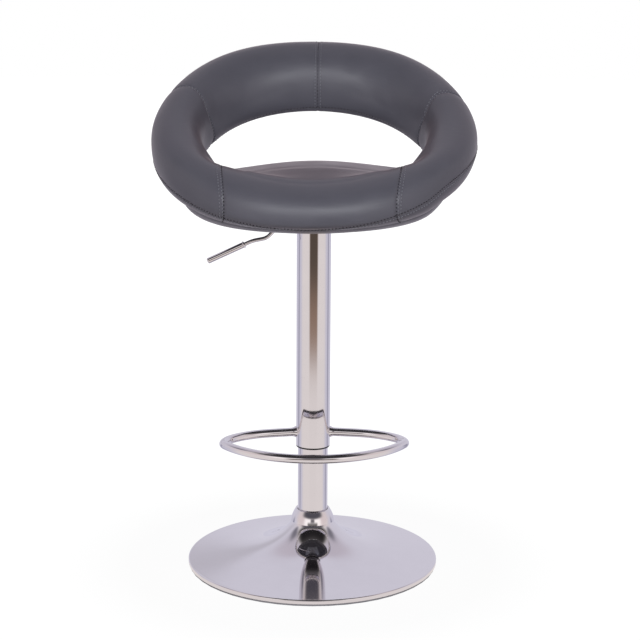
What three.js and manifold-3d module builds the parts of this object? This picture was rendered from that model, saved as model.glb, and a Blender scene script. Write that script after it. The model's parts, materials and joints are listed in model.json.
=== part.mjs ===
// Counter stool: an upholstered hoop-back bucket seat on a gas-lift column,
// with a welded footrest ring and a spun disc base. Lengths are millimetres,
// +Z is up, the sitter faces -Y and the origin is on the floor under the column.

import * as THREE from 'three';
import { mergeVertices } from 'three/addons/utils/BufferGeometryUtils.js';
import Module from 'manifold-3d';

const wasm = await Module();
wasm.setup();

// Fits shared by all pieces
const SEAT_GAP = 0.3;
const RUN_GAP = 0.5;
const CUT_OVER = 3;
const CUT_REACH = 700;
const CUT_HEIGHT = 1400;
const WELD_TOLERANCE = 1e-4;

// Base: floor ring, spun disc, weight, socket and collar
const BASE_RADIUS = 205;
const RING_HEIGHT = 3;
const RING_WIDTH = 14;
const RING_INSET = 1.5;
const RIM_HEIGHT = 9.5;
const DISC_WALL = 2;
const DISC_SHARES = [0, 0.015, 0.05, 0.11, 0.18, 0.27, 0.42, 0.97];
const NECK_RADIUS = 31;
const NECK_TOP = 84;
const NECK_CURVE = 1.2;
const CONE_RISE = 13;
const FLARE_RISE = 52;
const FLARE_CURVE = 36;
const WEIGHT_INNER_RADIUS = 64;
const WEIGHT_OUTER_RADIUS = 130;
const WEIGHT_BOTTOM = 8;
const SOCKET_WALL = 4.1;
const SOCKET_BOTTOM = 12;
const SOCKET_FLANGE_RADIUS = 58;
const COLLAR_BOTTOM = 71.5;
const COLLAR_TOP = 92;
const COLLAR_BOTTOM_RADIUS = 36;
const COLLAR_TOP_RADIUS = 27.8;
const COLLAR_WALL = 1.6;
const COLLAR_BULGE = 0.8;
const COLLAR_BULGE_SHARES = [0.3, 0.7];

// Column: outer tube, guide bush, thrust bearing and gas spring
const COLUMN_RADIUS = 24.3;
const COLUMN_WALL = 2;
const COLUMN_BOTTOM = 16;
const COLUMN_TOP = 440;
const COLUMN_FLOOR = 3;
const GUIDE_LENGTH = 90;
const GUIDE_FLANGE = 3;
const WASHER_RADIUS = 15;
const WASHER_THICKNESS = 2;
const BALL_RADIUS = 2.6;
const BALL_COUNT = 8;
const BALL_CIRCLE = 10.8;
const CAGE_THICKNESS = 1.6;
const CAGE_WIDTH = 3.4;
const ROD_RADIUS = 5;
const ROD_JOURNAL_RADIUS = 4;
const CLIP_RADIUS = 8;
const CLIP_THICKNESS = 1.6;
const ROD_TAIL = 4;
const BUMPER_RADIUS = 12;
const BUMPER_HEIGHT = 9;
const PISTON_HEIGHT = 14;
const CYLINDER_RADIUS = 14;
const CYLINDER_WALL = 2.5;
const CYLINDER_TOP = 549;
const TAPER_LENGTH = 44;
const TAPER_DROP = 1.2;
const GLAND_HEIGHT = 18;
const LIFT_STROKE = 210;
const PISTON_MARGIN = 6;
const BUTTON_RADIUS = 3;
const BUTTON_LENGTH = 12;
const BUTTON_WELL = 12;

// Shroud and footrest
const SHROUD_RADIUS = 27.5;
const SHROUD_WALL = 1.5;
const SHROUD_BOTTOM = 200.5;
const BUSH_LENGTH = 20;
const BUSH_LIP = 2.5;
const CENTRING_RING_HEIGHT = 10;
const FOOT_TUBE_RADIUS = 7;
const FOOT_HEIGHT = 221.5;
const FOOT_FRONT = 155;
const FOOT_FRONT_ARC = 167;
const FOOT_HALF_WIDTH = 144.5;
const FOOT_REAR_DROP_SHARES = [0, 0.1, 0.27];
const FOOT_REAR_REACH_SHARES = [0, 0.57, 0.9];
const FOOT_END_DEPTH_SHARE = 0.43;
const FOOT_ARC_REACH_SHARES = [0.95, 0.8, 0.62, 0.42, 0.21];
const FOOT_TURN = 2;
const FOOT_WELD_RADIUS = 9.5;
const FOOT_WELD_LENGTH = 6;

// Seat fixing: mounting plate, taper socket, bolts and lever
const PLATE_TOP = 574;
const PLATE_THICKNESS = 4;
const PLATE_HALF = 75;
const PLATE_CORNER = 14;
const PLATE_RIM_DROP = 3.5;
const PLATE_RIM_WALL = 3;
const TAPER_SOCKET_RADIUS = 20;
const TAPER_SOCKET_LENGTH = 58;
const LEVER_SPACE_RADIUS = 15.5;
const BOLT_OFFSET = 57;
const BOLT_RADIUS = 4;
const BOLT_HEAD_RADIUS = 7;
const BOLT_HEAD_HEIGHT = 4.5;
const BOLT_HEAD_ROUND = 2.2;
const TEE_BARREL_RADIUS = 5.2;
const TEE_FLANGE_RADIUS = 9.5;
const TEE_FLANGE_THICKNESS = 1.5;
const LEVER_AXIS_DROP = 10.7;
const LEVER_PIVOT = 40;
const LEVER_RADIUS = 3.5;
const LEVER_INNER_END = 2;
const LEVER_ELBOW = 58;
const LEVER_SETBACK = 7;
const LEVER_KNEE = 75;
const LEVER_KNEE_DROP = 18;
const GRIP_START = 113;
const GRIP_START_DROP = 29.5;
const GRIP_END = 170;
const GRIP_END_DROP = 56;
const GRIP_RADIUS = 4.8;
const GRIP_WALL = 1;
const GRIP_TIP = 2;
const GRIP_RING_RADIUS = 5.6;
const GRIP_RING_LENGTH = 2.6;
const SLOT_HALF_WIDTH = 4.8;
const SLOT_DEPTH = 19;
const EAR_THICKNESS = 2;
const EAR_HALF_LENGTH = 7;
const EAR_DROP = 15.5;
const PIN_RADIUS = 1.5;

// Seat shell: board, pan, hoop frame and its saddles
const PAN_WALL = 2.2;
const BOARD_THICKNESS = 12;
const BOARD_RADIUS = 132;
const HOOP_RADIUS = 8;
const HOOP_CHANNEL_GAP = 1;
const SEAT_FORWARD = 9;
const HOOP_END_ANGLE = 77;
const HOOP_ARM_ANGLE = 92;
const HOOP_STATION_STEP = 18;
const HOOP_END_REACH = 90;
const HOOP_LIE_REACH = 124;
const HOOP_BEND_REACH = 144;
const HOOP_BEND_RISE = 3;
const HOOP_RISE_REACH = 190;
const HOOP_RISE = 36;
const SADDLE_LENGTH = 18;
const SADDLE_WALL = 2;
const SADDLE_FOOT = 13;

// Upholstery. Each list runs round the hoop from the front (0 degrees)
// by the side (90) to the back (180) in equal steps: radius and height of
// the innermost, highest, outermost and lowest point of the roll.
const ROLL_INNER_RADIUS = [100, 129, 161, 177, 178, 163, 152];
const ROLL_INNER_HEIGHT = [614, 625, 647, 676, 714, 754, 772];
const ROLL_CREST_RADIUS = [150, 172, 204, 216, 217, 213, 206];
const ROLL_CREST_HEIGHT = [654, 662, 690, 739, 796, 833, 842];
const ROLL_OUTER_RADIUS = [207, 222, 241, 256, 257, 246, 233];
const ROLL_OUTER_HEIGHT = [614, 622, 655, 698, 750, 787, 798];
const ROLL_UNDER_RADIUS = [165, 178, 195, 203, 200, 184, 169];
const ROLL_UNDER_HEIGHT = [584, 587, 604, 638, 689, 722, 730];
const ROLL_FULLNESS = 2.25;
const PAD_TOP_RADIUS = [150, 162, 180, 195, 172, 150, 146];
const PAD_TOP_HEIGHT = [652, 656, 668, 678, 648, 636, 634];
const PAD_SIDE_RADIUS = [190, 197, 204, 207, 192, 172, 167];
const PAD_SIDE_HEIGHT = [592, 596, 608, 624, 626, 618, 616];
const PAD_CROWN_HEIGHT = 663;
const PAD_CROWN_PLACE = -20;
const PAD_CROWN_RADIUS = 865;
const PAD_SIDE_FALL = 18;
const PAD_SIDE_FALL_REACH = 134;
const PAD_FILLET_POWER = 9;
const PAD_FLAT_RADIUS = 134;
const PAD_TOP_SHARES = [0, 0.35, 0.6, 0.78, 0.9, 1];
const BACK_SEAM_ANGLE = 108;
const BACK_MIDDLE_ANGLE = 180;
const SEAT_SEAM_FRONT = 122;
const SEAT_SEAM_FRONT_PLACE = 218;
const SEAT_SEAM_BEND = 133;
const SEAT_SEAM_BEND_PLACE = 165;
const SEAT_SEAM_REAR = 150;
const SEAT_SEAM_REAR_PLACE = 130;
const SEAM_DRAW = 2.6;
const SEAM_DRAW_ANGLE = 3.5;
const SEAM_CLEAR_SHARE = 1.6;
const SEAM_STATION_SHARES = [-1.5, -0.7, 0, 0.7, 1.5];
const SEAM_STEEPNESS = 3;

// Facet counts
const FINE = 48;
const ROUND = 28;
const SMALL = 16;
const ROLL_FACETS = 20;
const HOOP_TURNS = 40;
const BAR_SIDES = 12;
const BOLT_SIDES = 12;
const BALL_SIDES = 7;
const BALL_RINGS = 4;
const FOOT_STEPS = 38;
const LEVER_STEPS = 26;
const LEVER_SIDES = 8;
const HOOP_STEPS = 44;
const HOOP_SIDES = 8;
const UNDER_STEPS = 3;
const SECTOR_STEPS = 3;
const CORNER_STEPS = 4;
const ARCH_STEPS = 8;

// Levels and radii that follow from the sizes above
const SOCKET_BORE = COLUMN_RADIUS + SEAT_GAP;
const COLUMN_BORE = COLUMN_RADIUS - COLUMN_WALL;
const COLUMN_SEAT = COLUMN_BOTTOM + COLUMN_FLOOR;
const LOWER_WASHER_BOTTOM = COLUMN_SEAT + SEAT_GAP;
const CAGE_MIDDLE = LOWER_WASHER_BOTTOM + WASHER_THICKNESS + SEAT_GAP + BALL_RADIUS;
const UPPER_WASHER_BOTTOM = CAGE_MIDDLE + BALL_RADIUS + SEAT_GAP;
const ROD_SHOULDER = UPPER_WASHER_BOTTOM + WASHER_THICKNESS + SEAT_GAP;
const BUMPER_BOTTOM = ROD_SHOULDER;
const CYLINDER_BOTTOM = BUMPER_BOTTOM + BUMPER_HEIGHT + SEAT_GAP;
const CYLINDER_BORE = CYLINDER_RADIUS - CYLINDER_WALL;
const GLAND_TOP = CYLINDER_BOTTOM + GLAND_HEIGHT;
const PISTON_BOTTOM = GLAND_TOP + LIFT_STROKE + PISTON_MARGIN;
const PISTON_TOP = PISTON_BOTTOM + PISTON_HEIGHT;
const CHAMBER_TOP = PISTON_TOP + PISTON_MARGIN;
const SHROUD_BORE = SHROUD_RADIUS - SHROUD_WALL;
const PLATE_BOTTOM = PLATE_TOP - PLATE_THICKNESS;
const SHROUD_TOP = PLATE_BOTTOM - SEAT_GAP;
const TAPER_SOCKET_TOP = PLATE_BOTTOM - SEAT_GAP;
const TAPER_SOCKET_BOTTOM = TAPER_SOCKET_TOP - TAPER_SOCKET_LENGTH;
const LEVER_AXIS = PLATE_BOTTOM - LEVER_AXIS_DROP;
const BUTTON_TOP = LEVER_AXIS - LEVER_RADIUS - SEAT_GAP;
const SLOT_BOTTOM = PLATE_BOTTOM - SLOT_DEPTH;
const PAN_BOTTOM = PLATE_TOP + SEAT_GAP;
const PAN_TOP = PAN_BOTTOM + PAN_WALL;
const BOARD_BOTTOM = PAN_TOP + SEAT_GAP;
const BOARD_TOP = BOARD_BOTTOM + BOARD_THICKNESS;
const HOOP_LIE = BOARD_TOP + SEAT_GAP + HOOP_RADIUS;
const HOOP_SEAMS = [BACK_SEAM_ANGLE, BACK_MIDDLE_ANGLE, 2 * BACK_MIDDLE_ANGLE - BACK_SEAM_ANGLE];

// Finishes
const CHROME = { color: 0xc9c8cc, roughness: 0.08, metalness: 1 };
const STEEL = { color: 0x9a9da1, roughness: 0.35, metalness: 0.9 };
const IRON = { color: 0x2c2d2f, roughness: 0.7, metalness: 0.4 };
const NYLON = { color: 0x17181a, roughness: 0.45, metalness: 0 };
const RUBBER = { color: 0x232325, roughness: 0.85, metalness: 0 };
const PLYWOOD = { color: 0xb48f61, roughness: 0.75, metalness: 0 };
const LEATHER = { color: 0x56565c, roughness: 0.42, metalness: 0 };

/** Merge shared corners, drop empty triangles and turn the faces outward. */
function weld(geometry) {
  const bare = geometry.index ? geometry.toNonIndexed() : geometry.clone();
  bare.deleteAttribute('normal');
  bare.deleteAttribute('uv');
  const merged = mergeVertices(bare, WELD_TOLERANCE);
  const place = merged.getAttribute('position');
  const index = merged.getIndex().array;
  const a = new THREE.Vector3();
  const b = new THREE.Vector3();
  const c = new THREE.Vector3();
  let kept = [];
  let volume = 0;
  for (let i = 0; i < index.length; i += 3) {
    const [p, q, r] = [index[i], index[i + 1], index[i + 2]];
    if (p === q || q === r || r === p) continue;
    kept.push([p, q, r]);
    a.fromBufferAttribute(place, p);
    b.fromBufferAttribute(place, q);
    c.fromBufferAttribute(place, r);
    volume += a.dot(b.cross(c));
  }
  if (volume < 0) kept = kept.map(([p, q, r]) => [p, r, q]);
  merged.setIndex(kept.flat());
  return merged;
}

function toSolid(geometry) {
  const welded = weld(geometry);
  const vertProperties = new Float32Array(welded.getAttribute('position').array);
  const triVerts = new Uint32Array(welded.getIndex().array);
  return new wasm.Manifold(new wasm.Mesh({ numProp: 3, vertProperties, triVerts }));
}

function toGeometry(solid) {
  const mesh = solid.getMesh();
  const geometry = new THREE.BufferGeometry();
  geometry.setAttribute('position', new THREE.BufferAttribute(mesh.vertProperties, mesh.numProp));
  geometry.setIndex(new THREE.BufferAttribute(mesh.triVerts, 1));
  return geometry;
}

/** Ring or disc turned about Z from a closed outline of [radius, height]. */
function turned(outline, segments = ROUND) {
  const points = outline.map(([radius, height]) => new THREE.Vector2(radius, height));
  points.push(points[0].clone());
  return new THREE.LatheGeometry(points, segments).rotateX(Math.PI / 2);
}

function tubeRing(inner, outer, bottom, top, segments = ROUND) {
  return turned([[inner, bottom], [outer, bottom], [outer, top], [inner, top]], segments);
}

function disc(radius, bottom, top, segments = ROUND) {
  return turned([[0, bottom], [radius, bottom], [radius, top], [0, top]], segments);
}

/** Round bar that follows a curve. */
function bar(curve, radius, steps, sides) {
  const corner = (_, k) => {
    const turn = (2 * Math.PI * k) / sides;
    return new THREE.Vector2(radius * Math.cos(turn), radius * Math.sin(turn));
  };
  const shape = new THREE.Shape(Array.from({ length: sides }, corner));
  return new THREE.ExtrudeGeometry(shape, { steps, bevelEnabled: false, extrudePath: curve });
}

function straightBar(from, to, radius, sides = SMALL) {
  return bar(new THREE.LineCurve3(from, to), radius, 1, sides);
}

function block(xs, ys, zs) {
  const box = new THREE.BoxGeometry(xs[1] - xs[0], ys[1] - ys[0], zs[1] - zs[0]);
  return box.translate((xs[0] + xs[1]) / 2, (ys[0] + ys[1]) / 2, (zs[0] + zs[1]) / 2);
}

/** Closed surface from rows of points; each row closes on itself or ends at a pole. */
function lofted(rows, rowsClose) {
  const corners = [];
  const width = rows[0].length;
  const steps = rowsClose ? width : width - 1;
  rows.forEach((row, i) => {
    const next = rows[(i + 1) % rows.length];
    for (let j = 0; j < steps; j += 1) {
      const k = (j + 1) % width;
      corners.push(row[j], next[j], next[k], row[j], next[k], row[k]);
    }
  });
  return new THREE.BufferGeometry().setFromPoints(corners);
}

const stool = new THREE.Group();

/** Hang one named piece on the stool. */
function add(name, geometry, finish) {
  const shape = geometry instanceof THREE.BufferGeometry ? weld(geometry) : toGeometry(geometry);
  shape.computeVertexNormals();
  const mesh = new THREE.Mesh(shape, new THREE.MeshStandardMaterial(finish));
  mesh.name = name;
  stool.add(mesh);
}

/** The spun disc's face, from the neck to the rim, at one depth into its wall.
    It is a shallow cone with a wide flare and a short steep neck under the collar. */
function discFace(depth) {
  const span = BASE_RADIUS - NECK_RADIUS;
  const neckRise = NECK_TOP - RIM_HEIGHT - CONE_RISE - FLARE_RISE;
  return DISC_SHARES.map((share) => {
    const cone = RIM_HEIGHT + CONE_RISE * (1 - share);
    const neck = neckRise * Math.exp((-share * span) / NECK_CURVE);
    const flare = FLARE_RISE * Math.exp((-share * span) / FLARE_CURVE);
    const slope = CONE_RISE / span + neck / NECK_CURVE + flare / FLARE_CURVE;
    const drop = depth / Math.hypot(1, slope);
    return [NECK_RADIUS + share * span - slope * drop, cone + neck + flare - drop];
  });
}

/** Height on the straight runs of the disc's underside. */
function underDisc(radius) {
  const points = discFace(DISC_WALL);
  const k = points.findIndex(([reach]) => reach >= radius);
  const [[innerRadius, innerHeight], [outerRadius, outerHeight]] = [points[k - 1], points[k]];
  const share = (radius - innerRadius) / (outerRadius - innerRadius);
  return innerHeight + share * (outerHeight - innerHeight);
}

function makeBase() {
  const ringOuter = BASE_RADIUS - RING_INSET;
  add('base_floor_ring', tubeRing(ringOuter - RING_WIDTH, ringOuter, 0, RING_HEIGHT, FINE), RUBBER);

  const upper = discFace(0);
  const rimFloor = RING_HEIGHT + SEAT_GAP;
  const lower = discFace(DISC_WALL);
  const bends = lower.map(([radius]) => radius);
  lower[0][1] = NECK_TOP;
  const rim = [
    [BASE_RADIUS, RIM_HEIGHT - DISC_WALL],
    [BASE_RADIUS, rimFloor],
    [BASE_RADIUS - DISC_WALL, rimFloor],
  ];
  add('base_disc', turned([...upper, ...rim, ...lower.reverse()], FINE), CHROME);

  const between = bends.filter((radius) => radius > WEIGHT_INNER_RADIUS && radius < WEIGHT_OUTER_RADIUS);
  const weightTop = [WEIGHT_INNER_RADIUS, ...between, WEIGHT_OUTER_RADIUS];
  const weight = [
    [WEIGHT_OUTER_RADIUS, WEIGHT_BOTTOM],
    [WEIGHT_INNER_RADIUS, WEIGHT_BOTTOM],
    ...weightTop.map((radius) => [radius, underDisc(radius) - SEAT_GAP]),
  ];
  add('base_weight', turned(weight), IRON);

  const socketOuter = SOCKET_BORE + SOCKET_WALL;
  const socket = [
    [SOCKET_BORE, SOCKET_BOTTOM],
    [SOCKET_FLANGE_RADIUS, SOCKET_BOTTOM],
    [SOCKET_FLANGE_RADIUS, SOCKET_BOTTOM + SOCKET_WALL],
    [socketOuter, SOCKET_BOTTOM + SOCKET_WALL],
    [socketOuter, NECK_TOP],
    [SOCKET_BORE, NECK_TOP],
  ];
  add('column_socket', turned(socket), STEEL);

  const seat = NECK_TOP + SEAT_GAP;
  const bulge = (share) => {
    const radius = COLLAR_BOTTOM_RADIUS + share * (COLLAR_TOP_RADIUS - COLLAR_BOTTOM_RADIUS);
    return [radius + COLLAR_BULGE, COLLAR_BOTTOM + share * (COLLAR_TOP - COLLAR_BOTTOM)];
  };
  const collar = [
    [COLLAR_BOTTOM_RADIUS, COLLAR_BOTTOM],
    ...COLLAR_BULGE_SHARES.map(bulge),
    [COLLAR_TOP_RADIUS, COLLAR_TOP],
    [COLLAR_TOP_RADIUS - COLLAR_WALL, COLLAR_TOP],
    [COLUMN_RADIUS + RUN_GAP, seat + COLLAR_WALL],
    [COLUMN_RADIUS + RUN_GAP, seat],
    [NECK_RADIUS + RUN_GAP, seat],
    [COLLAR_BOTTOM_RADIUS - COLLAR_WALL, COLLAR_BOTTOM],
  ];
  add('base_collar', turned(collar), CHROME);
}

function makeColumn() {
  const hole = ROD_JOURNAL_RADIUS + RUN_GAP;
  const column = [
    [hole, COLUMN_BOTTOM],
    [COLUMN_RADIUS, COLUMN_BOTTOM],
    [COLUMN_RADIUS, COLUMN_TOP],
    [COLUMN_BORE, COLUMN_TOP],
    [COLUMN_BORE, COLUMN_SEAT],
    [hole, COLUMN_SEAT],
  ];
  add('column_tube', turned(column), CHROME);

  const guideBore = CYLINDER_RADIUS + RUN_GAP;
  const guideTop = COLUMN_TOP + SEAT_GAP + GUIDE_FLANGE;
  const guide = [
    [guideBore, COLUMN_TOP - GUIDE_LENGTH],
    [COLUMN_BORE - SEAT_GAP, COLUMN_TOP - GUIDE_LENGTH],
    [COLUMN_BORE - SEAT_GAP, COLUMN_TOP + SEAT_GAP],
    [COLUMN_RADIUS - SEAT_GAP, COLUMN_TOP + SEAT_GAP],
    [COLUMN_RADIUS - SEAT_GAP, guideTop],
    [guideBore, guideTop],
  ];
  add('column_guide_bush', turned(guide), NYLON);
}

function makeThrustBearing() {
  const bore = ROD_JOURNAL_RADIUS + SEAT_GAP;
  const washer = (bottom) => tubeRing(bore, WASHER_RADIUS, bottom, bottom + WASHER_THICKNESS, SMALL);
  add('thrust_washer_lower', washer(LOWER_WASHER_BOTTOM), STEEL);
  add('thrust_washer_upper', washer(UPPER_WASHER_BOTTOM), STEEL);

  const halfCage = CAGE_THICKNESS / 2;
  const inner = BALL_CIRCLE - CAGE_WIDTH;
  const outer = BALL_CIRCLE + CAGE_WIDTH;
  let cage = toSolid(tubeRing(inner, outer, CAGE_MIDDLE - halfCage, CAGE_MIDDLE + halfCage, SMALL));
  for (let i = 0; i < BALL_COUNT; i += 1) {
    const turn = (2 * Math.PI * i) / BALL_COUNT;
    const ball = new THREE.SphereGeometry(BALL_RADIUS, BALL_SIDES, BALL_RINGS).rotateX(Math.PI / 2);
    ball.translate(BALL_CIRCLE * Math.cos(turn), BALL_CIRCLE * Math.sin(turn), CAGE_MIDDLE);
    cage = cage.add(toSolid(ball));
  }
  add('thrust_ball_cage', cage, STEEL);
}

function makeGasSpring() {
  const clipTop = COLUMN_BOTTOM - SEAT_GAP;
  const clipBottom = clipTop - CLIP_THICKNESS;
  add('rod_clip', tubeRing(ROD_JOURNAL_RADIUS + SEAT_GAP, CLIP_RADIUS, clipBottom, clipTop, SMALL), STEEL);

  const rod = [
    [0, clipBottom - ROD_TAIL],
    [ROD_JOURNAL_RADIUS, clipBottom - ROD_TAIL],
    [ROD_JOURNAL_RADIUS, ROD_SHOULDER],
    [ROD_RADIUS, ROD_SHOULDER],
    [ROD_RADIUS, PISTON_TOP],
    [0, PISTON_TOP],
  ];
  add('piston_rod', turned(rod, SMALL), CHROME);
  const pistonBore = ROD_RADIUS + SEAT_GAP;
  add('piston', tubeRing(pistonBore, CYLINDER_BORE - RUN_GAP, PISTON_BOTTOM, PISTON_TOP, SMALL), NYLON);
  const bumperTop = BUMPER_BOTTOM + BUMPER_HEIGHT;
  add('rubber_bumper', tubeRing(pistonBore, BUMPER_RADIUS, BUMPER_BOTTOM, bumperTop, SMALL), RUBBER);

  const taperBottom = CYLINDER_TOP - TAPER_LENGTH;
  const well = CYLINDER_TOP - BUTTON_WELL;
  const buttonBore = BUTTON_RADIUS + RUN_GAP;
  const cylinder = [
    [0, CHAMBER_TOP],
    [CYLINDER_BORE, CHAMBER_TOP],
    [CYLINDER_BORE, CYLINDER_BOTTOM],
    [CYLINDER_RADIUS, CYLINDER_BOTTOM],
    [CYLINDER_RADIUS, taperBottom],
    [CYLINDER_RADIUS - TAPER_DROP, CYLINDER_TOP],
    [buttonBore, CYLINDER_TOP],
    [buttonBore, well],
    [0, well],
  ];
  add('gas_cylinder', turned(cylinder), IRON);
  const glandBore = ROD_RADIUS + RUN_GAP;
  const gland = tubeRing(glandBore, CYLINDER_BORE - SEAT_GAP, CYLINDER_BOTTOM, GLAND_TOP, SMALL);
  add('cylinder_gland', gland, NYLON);
  add('release_button', disc(BUTTON_RADIUS, BUTTON_TOP - BUTTON_LENGTH, BUTTON_TOP, SMALL), STEEL);
}

/** Opening on the lever's side of a tube, from the slot's floor past its top. */
function leverSlot() {
  const across = [-SLOT_HALF_WIDTH, SLOT_HALF_WIDTH];
  return toSolid(block([-SHROUD_RADIUS - CUT_OVER, 0], across, [SLOT_BOTTOM, PLATE_BOTTOM + CUT_OVER]));
}

function makeShroud() {
  const tube = toSolid(tubeRing(SHROUD_BORE, SHROUD_RADIUS, SHROUD_BOTTOM, SHROUD_TOP));
  add('shroud_tube', tube.subtract(leverSlot()), CHROME);

  const bushBore = COLUMN_RADIUS + RUN_GAP;
  const lipTop = SHROUD_BOTTOM - SEAT_GAP;
  const bush = [
    [bushBore, lipTop - BUSH_LIP],
    [SHROUD_RADIUS - SEAT_GAP, lipTop - BUSH_LIP],
    [SHROUD_RADIUS - SEAT_GAP, lipTop],
    [SHROUD_BORE - SEAT_GAP, lipTop],
    [SHROUD_BORE - SEAT_GAP, lipTop + BUSH_LENGTH],
    [bushBore, lipTop + BUSH_LENGTH],
  ];
  add('shroud_bush', turned(bush), NYLON);

  const ringTop = SLOT_BOTTOM - SEAT_GAP;
  const inner = TAPER_SOCKET_RADIUS + SEAT_GAP;
  const ring = tubeRing(inner, SHROUD_BORE - SEAT_GAP, ringTop - CENTRING_RING_HEIGHT, ringTop);
  add('shroud_centring_ring', ring, NYLON);
}

/** Right half of the footrest's centre line, from the weld to the middle of the front bar. */
function footrestHalf() {
  const start = SHROUD_RADIUS - FOOT_TUBE_RADIUS / 2;
  const reach = FOOT_HALF_WIDTH - start;
  const points = FOOT_REAR_REACH_SHARES.map((share, i) => {
    return [start + share * reach, -FOOT_REAR_DROP_SHARES[i] * FOOT_FRONT];
  });
  points.push([FOOT_HALF_WIDTH, -FOOT_END_DEPTH_SHARE * FOOT_FRONT]);
  FOOT_ARC_REACH_SHARES.forEach((share) => {
    const x = share * FOOT_HALF_WIDTH;
    const rise = FOOT_FRONT_ARC - Math.sqrt(FOOT_FRONT_ARC ** 2 - x ** 2);
    points.push([x, rise - FOOT_FRONT]);
  });
  return points;
}

function makeFootrest() {
  const half = footrestHalf();
  const mirrored = half.map(([x, y]) => [-x, y]).reverse();
  const outline = [...half, [0, -FOOT_FRONT], ...mirrored];
  const curve = new THREE.CatmullRomCurve3(
    outline.map(([x, y]) => new THREE.Vector3(x, y, FOOT_HEIGHT)), false, 'centripetal',
  );
  let ring = toSolid(bar(curve, FOOT_TUBE_RADIUS, FOOT_STEPS, BAR_SIDES));
  [-1, 1].forEach((side) => {
    const shape = [FOOT_TUBE_RADIUS, FOOT_WELD_RADIUS, FOOT_WELD_LENGTH, BAR_SIDES];
    const bead = new THREE.CylinderGeometry(...shape);
    bead.translate(0, SHROUD_RADIUS + FOOT_WELD_LENGTH / 2, 0).rotateZ((-side * Math.PI) / 2);
    ring = ring.add(toSolid(bead.translate(0, 0, FOOT_HEIGHT)));
  });
  const clear = SHROUD_RADIUS + SEAT_GAP;
  const reach = FOOT_WELD_RADIUS + CUT_OVER;
  ring = ring.subtract(toSolid(disc(clear, FOOT_HEIGHT - reach, FOOT_HEIGHT + reach)));
  add('footrest_ring', ring.rotate([0, 0, FOOT_TURN]), CHROME);
}

/** Rounded square outline, for the mounting plate. */
function roundedSquare(half, corner) {
  const shape = new THREE.Shape();
  const inner = half - corner;
  shape.absarc(inner, inner, corner, 0, Math.PI / 2);
  shape.absarc(-inner, inner, corner, Math.PI / 2, Math.PI);
  shape.absarc(-inner, -inner, corner, Math.PI, Math.PI * 1.5);
  shape.absarc(inner, -inner, corner, Math.PI * 1.5, Math.PI * 2);
  return shape;
}

function slabOf(shape, bottom, top) {
  const options = { depth: top - bottom, bevelEnabled: false, curveSegments: CORNER_STEPS };
  return new THREE.ExtrudeGeometry(shape, options).translate(0, 0, bottom);
}

function boltPlaces() {
  return [[1, 1], [-1, 1], [-1, -1], [1, -1]].map(([x, y]) => [x * BOLT_OFFSET, y * BOLT_OFFSET]);
}

function makeMountingPlate() {
  const rimBottom = PLATE_BOTTOM - PLATE_RIM_DROP;
  let plate = toSolid(slabOf(roundedSquare(PLATE_HALF, PLATE_CORNER), rimBottom, PLATE_TOP));
  const inner = PLATE_HALF - PLATE_RIM_WALL;
  const trayPlan = roundedSquare(inner, PLATE_CORNER - PLATE_RIM_WALL);
  const tray = slabOf(trayPlan, rimBottom - CUT_OVER, PLATE_BOTTOM);
  plate = plate.subtract(toSolid(tray));
  boltPlaces().forEach(([x, y]) => {
    const hole = disc(BOLT_RADIUS + SEAT_GAP, PLATE_BOTTOM - CUT_OVER, PLATE_TOP + CUT_OVER, SMALL);
    plate = plate.subtract(toSolid(hole.translate(x, y, 0)));
  });
  const gate = block(
    [-PLATE_HALF - CUT_OVER, -PLATE_HALF + PLATE_RIM_WALL + CUT_OVER],
    [-SLOT_HALF_WIDTH, SLOT_HALF_WIDTH],
    [rimBottom - CUT_OVER, PLATE_BOTTOM],
  );
  add('mounting_plate', plate.subtract(toSolid(gate)), STEEL);

  const bore = CYLINDER_RADIUS + SEAT_GAP;
  const taperBottom = CYLINDER_TOP - TAPER_LENGTH;
  const socket = [
    [TAPER_SOCKET_RADIUS, TAPER_SOCKET_BOTTOM],
    [TAPER_SOCKET_RADIUS, TAPER_SOCKET_TOP],
    [LEVER_SPACE_RADIUS, TAPER_SOCKET_TOP],
    [LEVER_SPACE_RADIUS, CYLINDER_TOP],
    [bore - TAPER_DROP, CYLINDER_TOP],
    [bore, Math.max(taperBottom, TAPER_SOCKET_BOTTOM + SEAT_GAP)],
    [bore, TAPER_SOCKET_BOTTOM],
  ];
  add('taper_socket', toSolid(turned(socket)).subtract(leverSlot()), STEEL);
}

function makeFasteners() {
  const headBottom = PLATE_BOTTOM - SEAT_GAP - BOLT_HEAD_HEIGHT;
  const shankTop = BOARD_TOP - SEAT_GAP;
  const teeBottom = BOARD_BOTTOM + SEAT_GAP;
  boltPlaces().forEach(([x, y], i) => {
    const bolt = [
      [0, headBottom],
      [BOLT_HEAD_RADIUS - BOLT_HEAD_ROUND, headBottom],
      [BOLT_HEAD_RADIUS, headBottom + BOLT_HEAD_ROUND],
      [BOLT_HEAD_RADIUS, headBottom + BOLT_HEAD_HEIGHT],
      [BOLT_RADIUS, headBottom + BOLT_HEAD_HEIGHT],
      [BOLT_RADIUS, shankTop],
      [0, shankTop],
    ];
    add(`plate_bolt_${i + 1}`, turned(bolt, BOLT_SIDES).translate(x, y, 0), STEEL);
    const flangeBottom = BOARD_TOP + SEAT_GAP;
    const tee = [
      [BOLT_RADIUS + SEAT_GAP, teeBottom],
      [TEE_BARREL_RADIUS, teeBottom],
      [TEE_BARREL_RADIUS, flangeBottom],
      [TEE_FLANGE_RADIUS, flangeBottom],
      [TEE_FLANGE_RADIUS, flangeBottom + TEE_FLANGE_THICKNESS],
      [BOLT_RADIUS + SEAT_GAP, flangeBottom + TEE_FLANGE_THICKNESS],
    ];
    add(`tee_nut_${i + 1}`, turned(tee, BOLT_SIDES).translate(x, y, 0), STEEL);
  });
}

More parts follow.
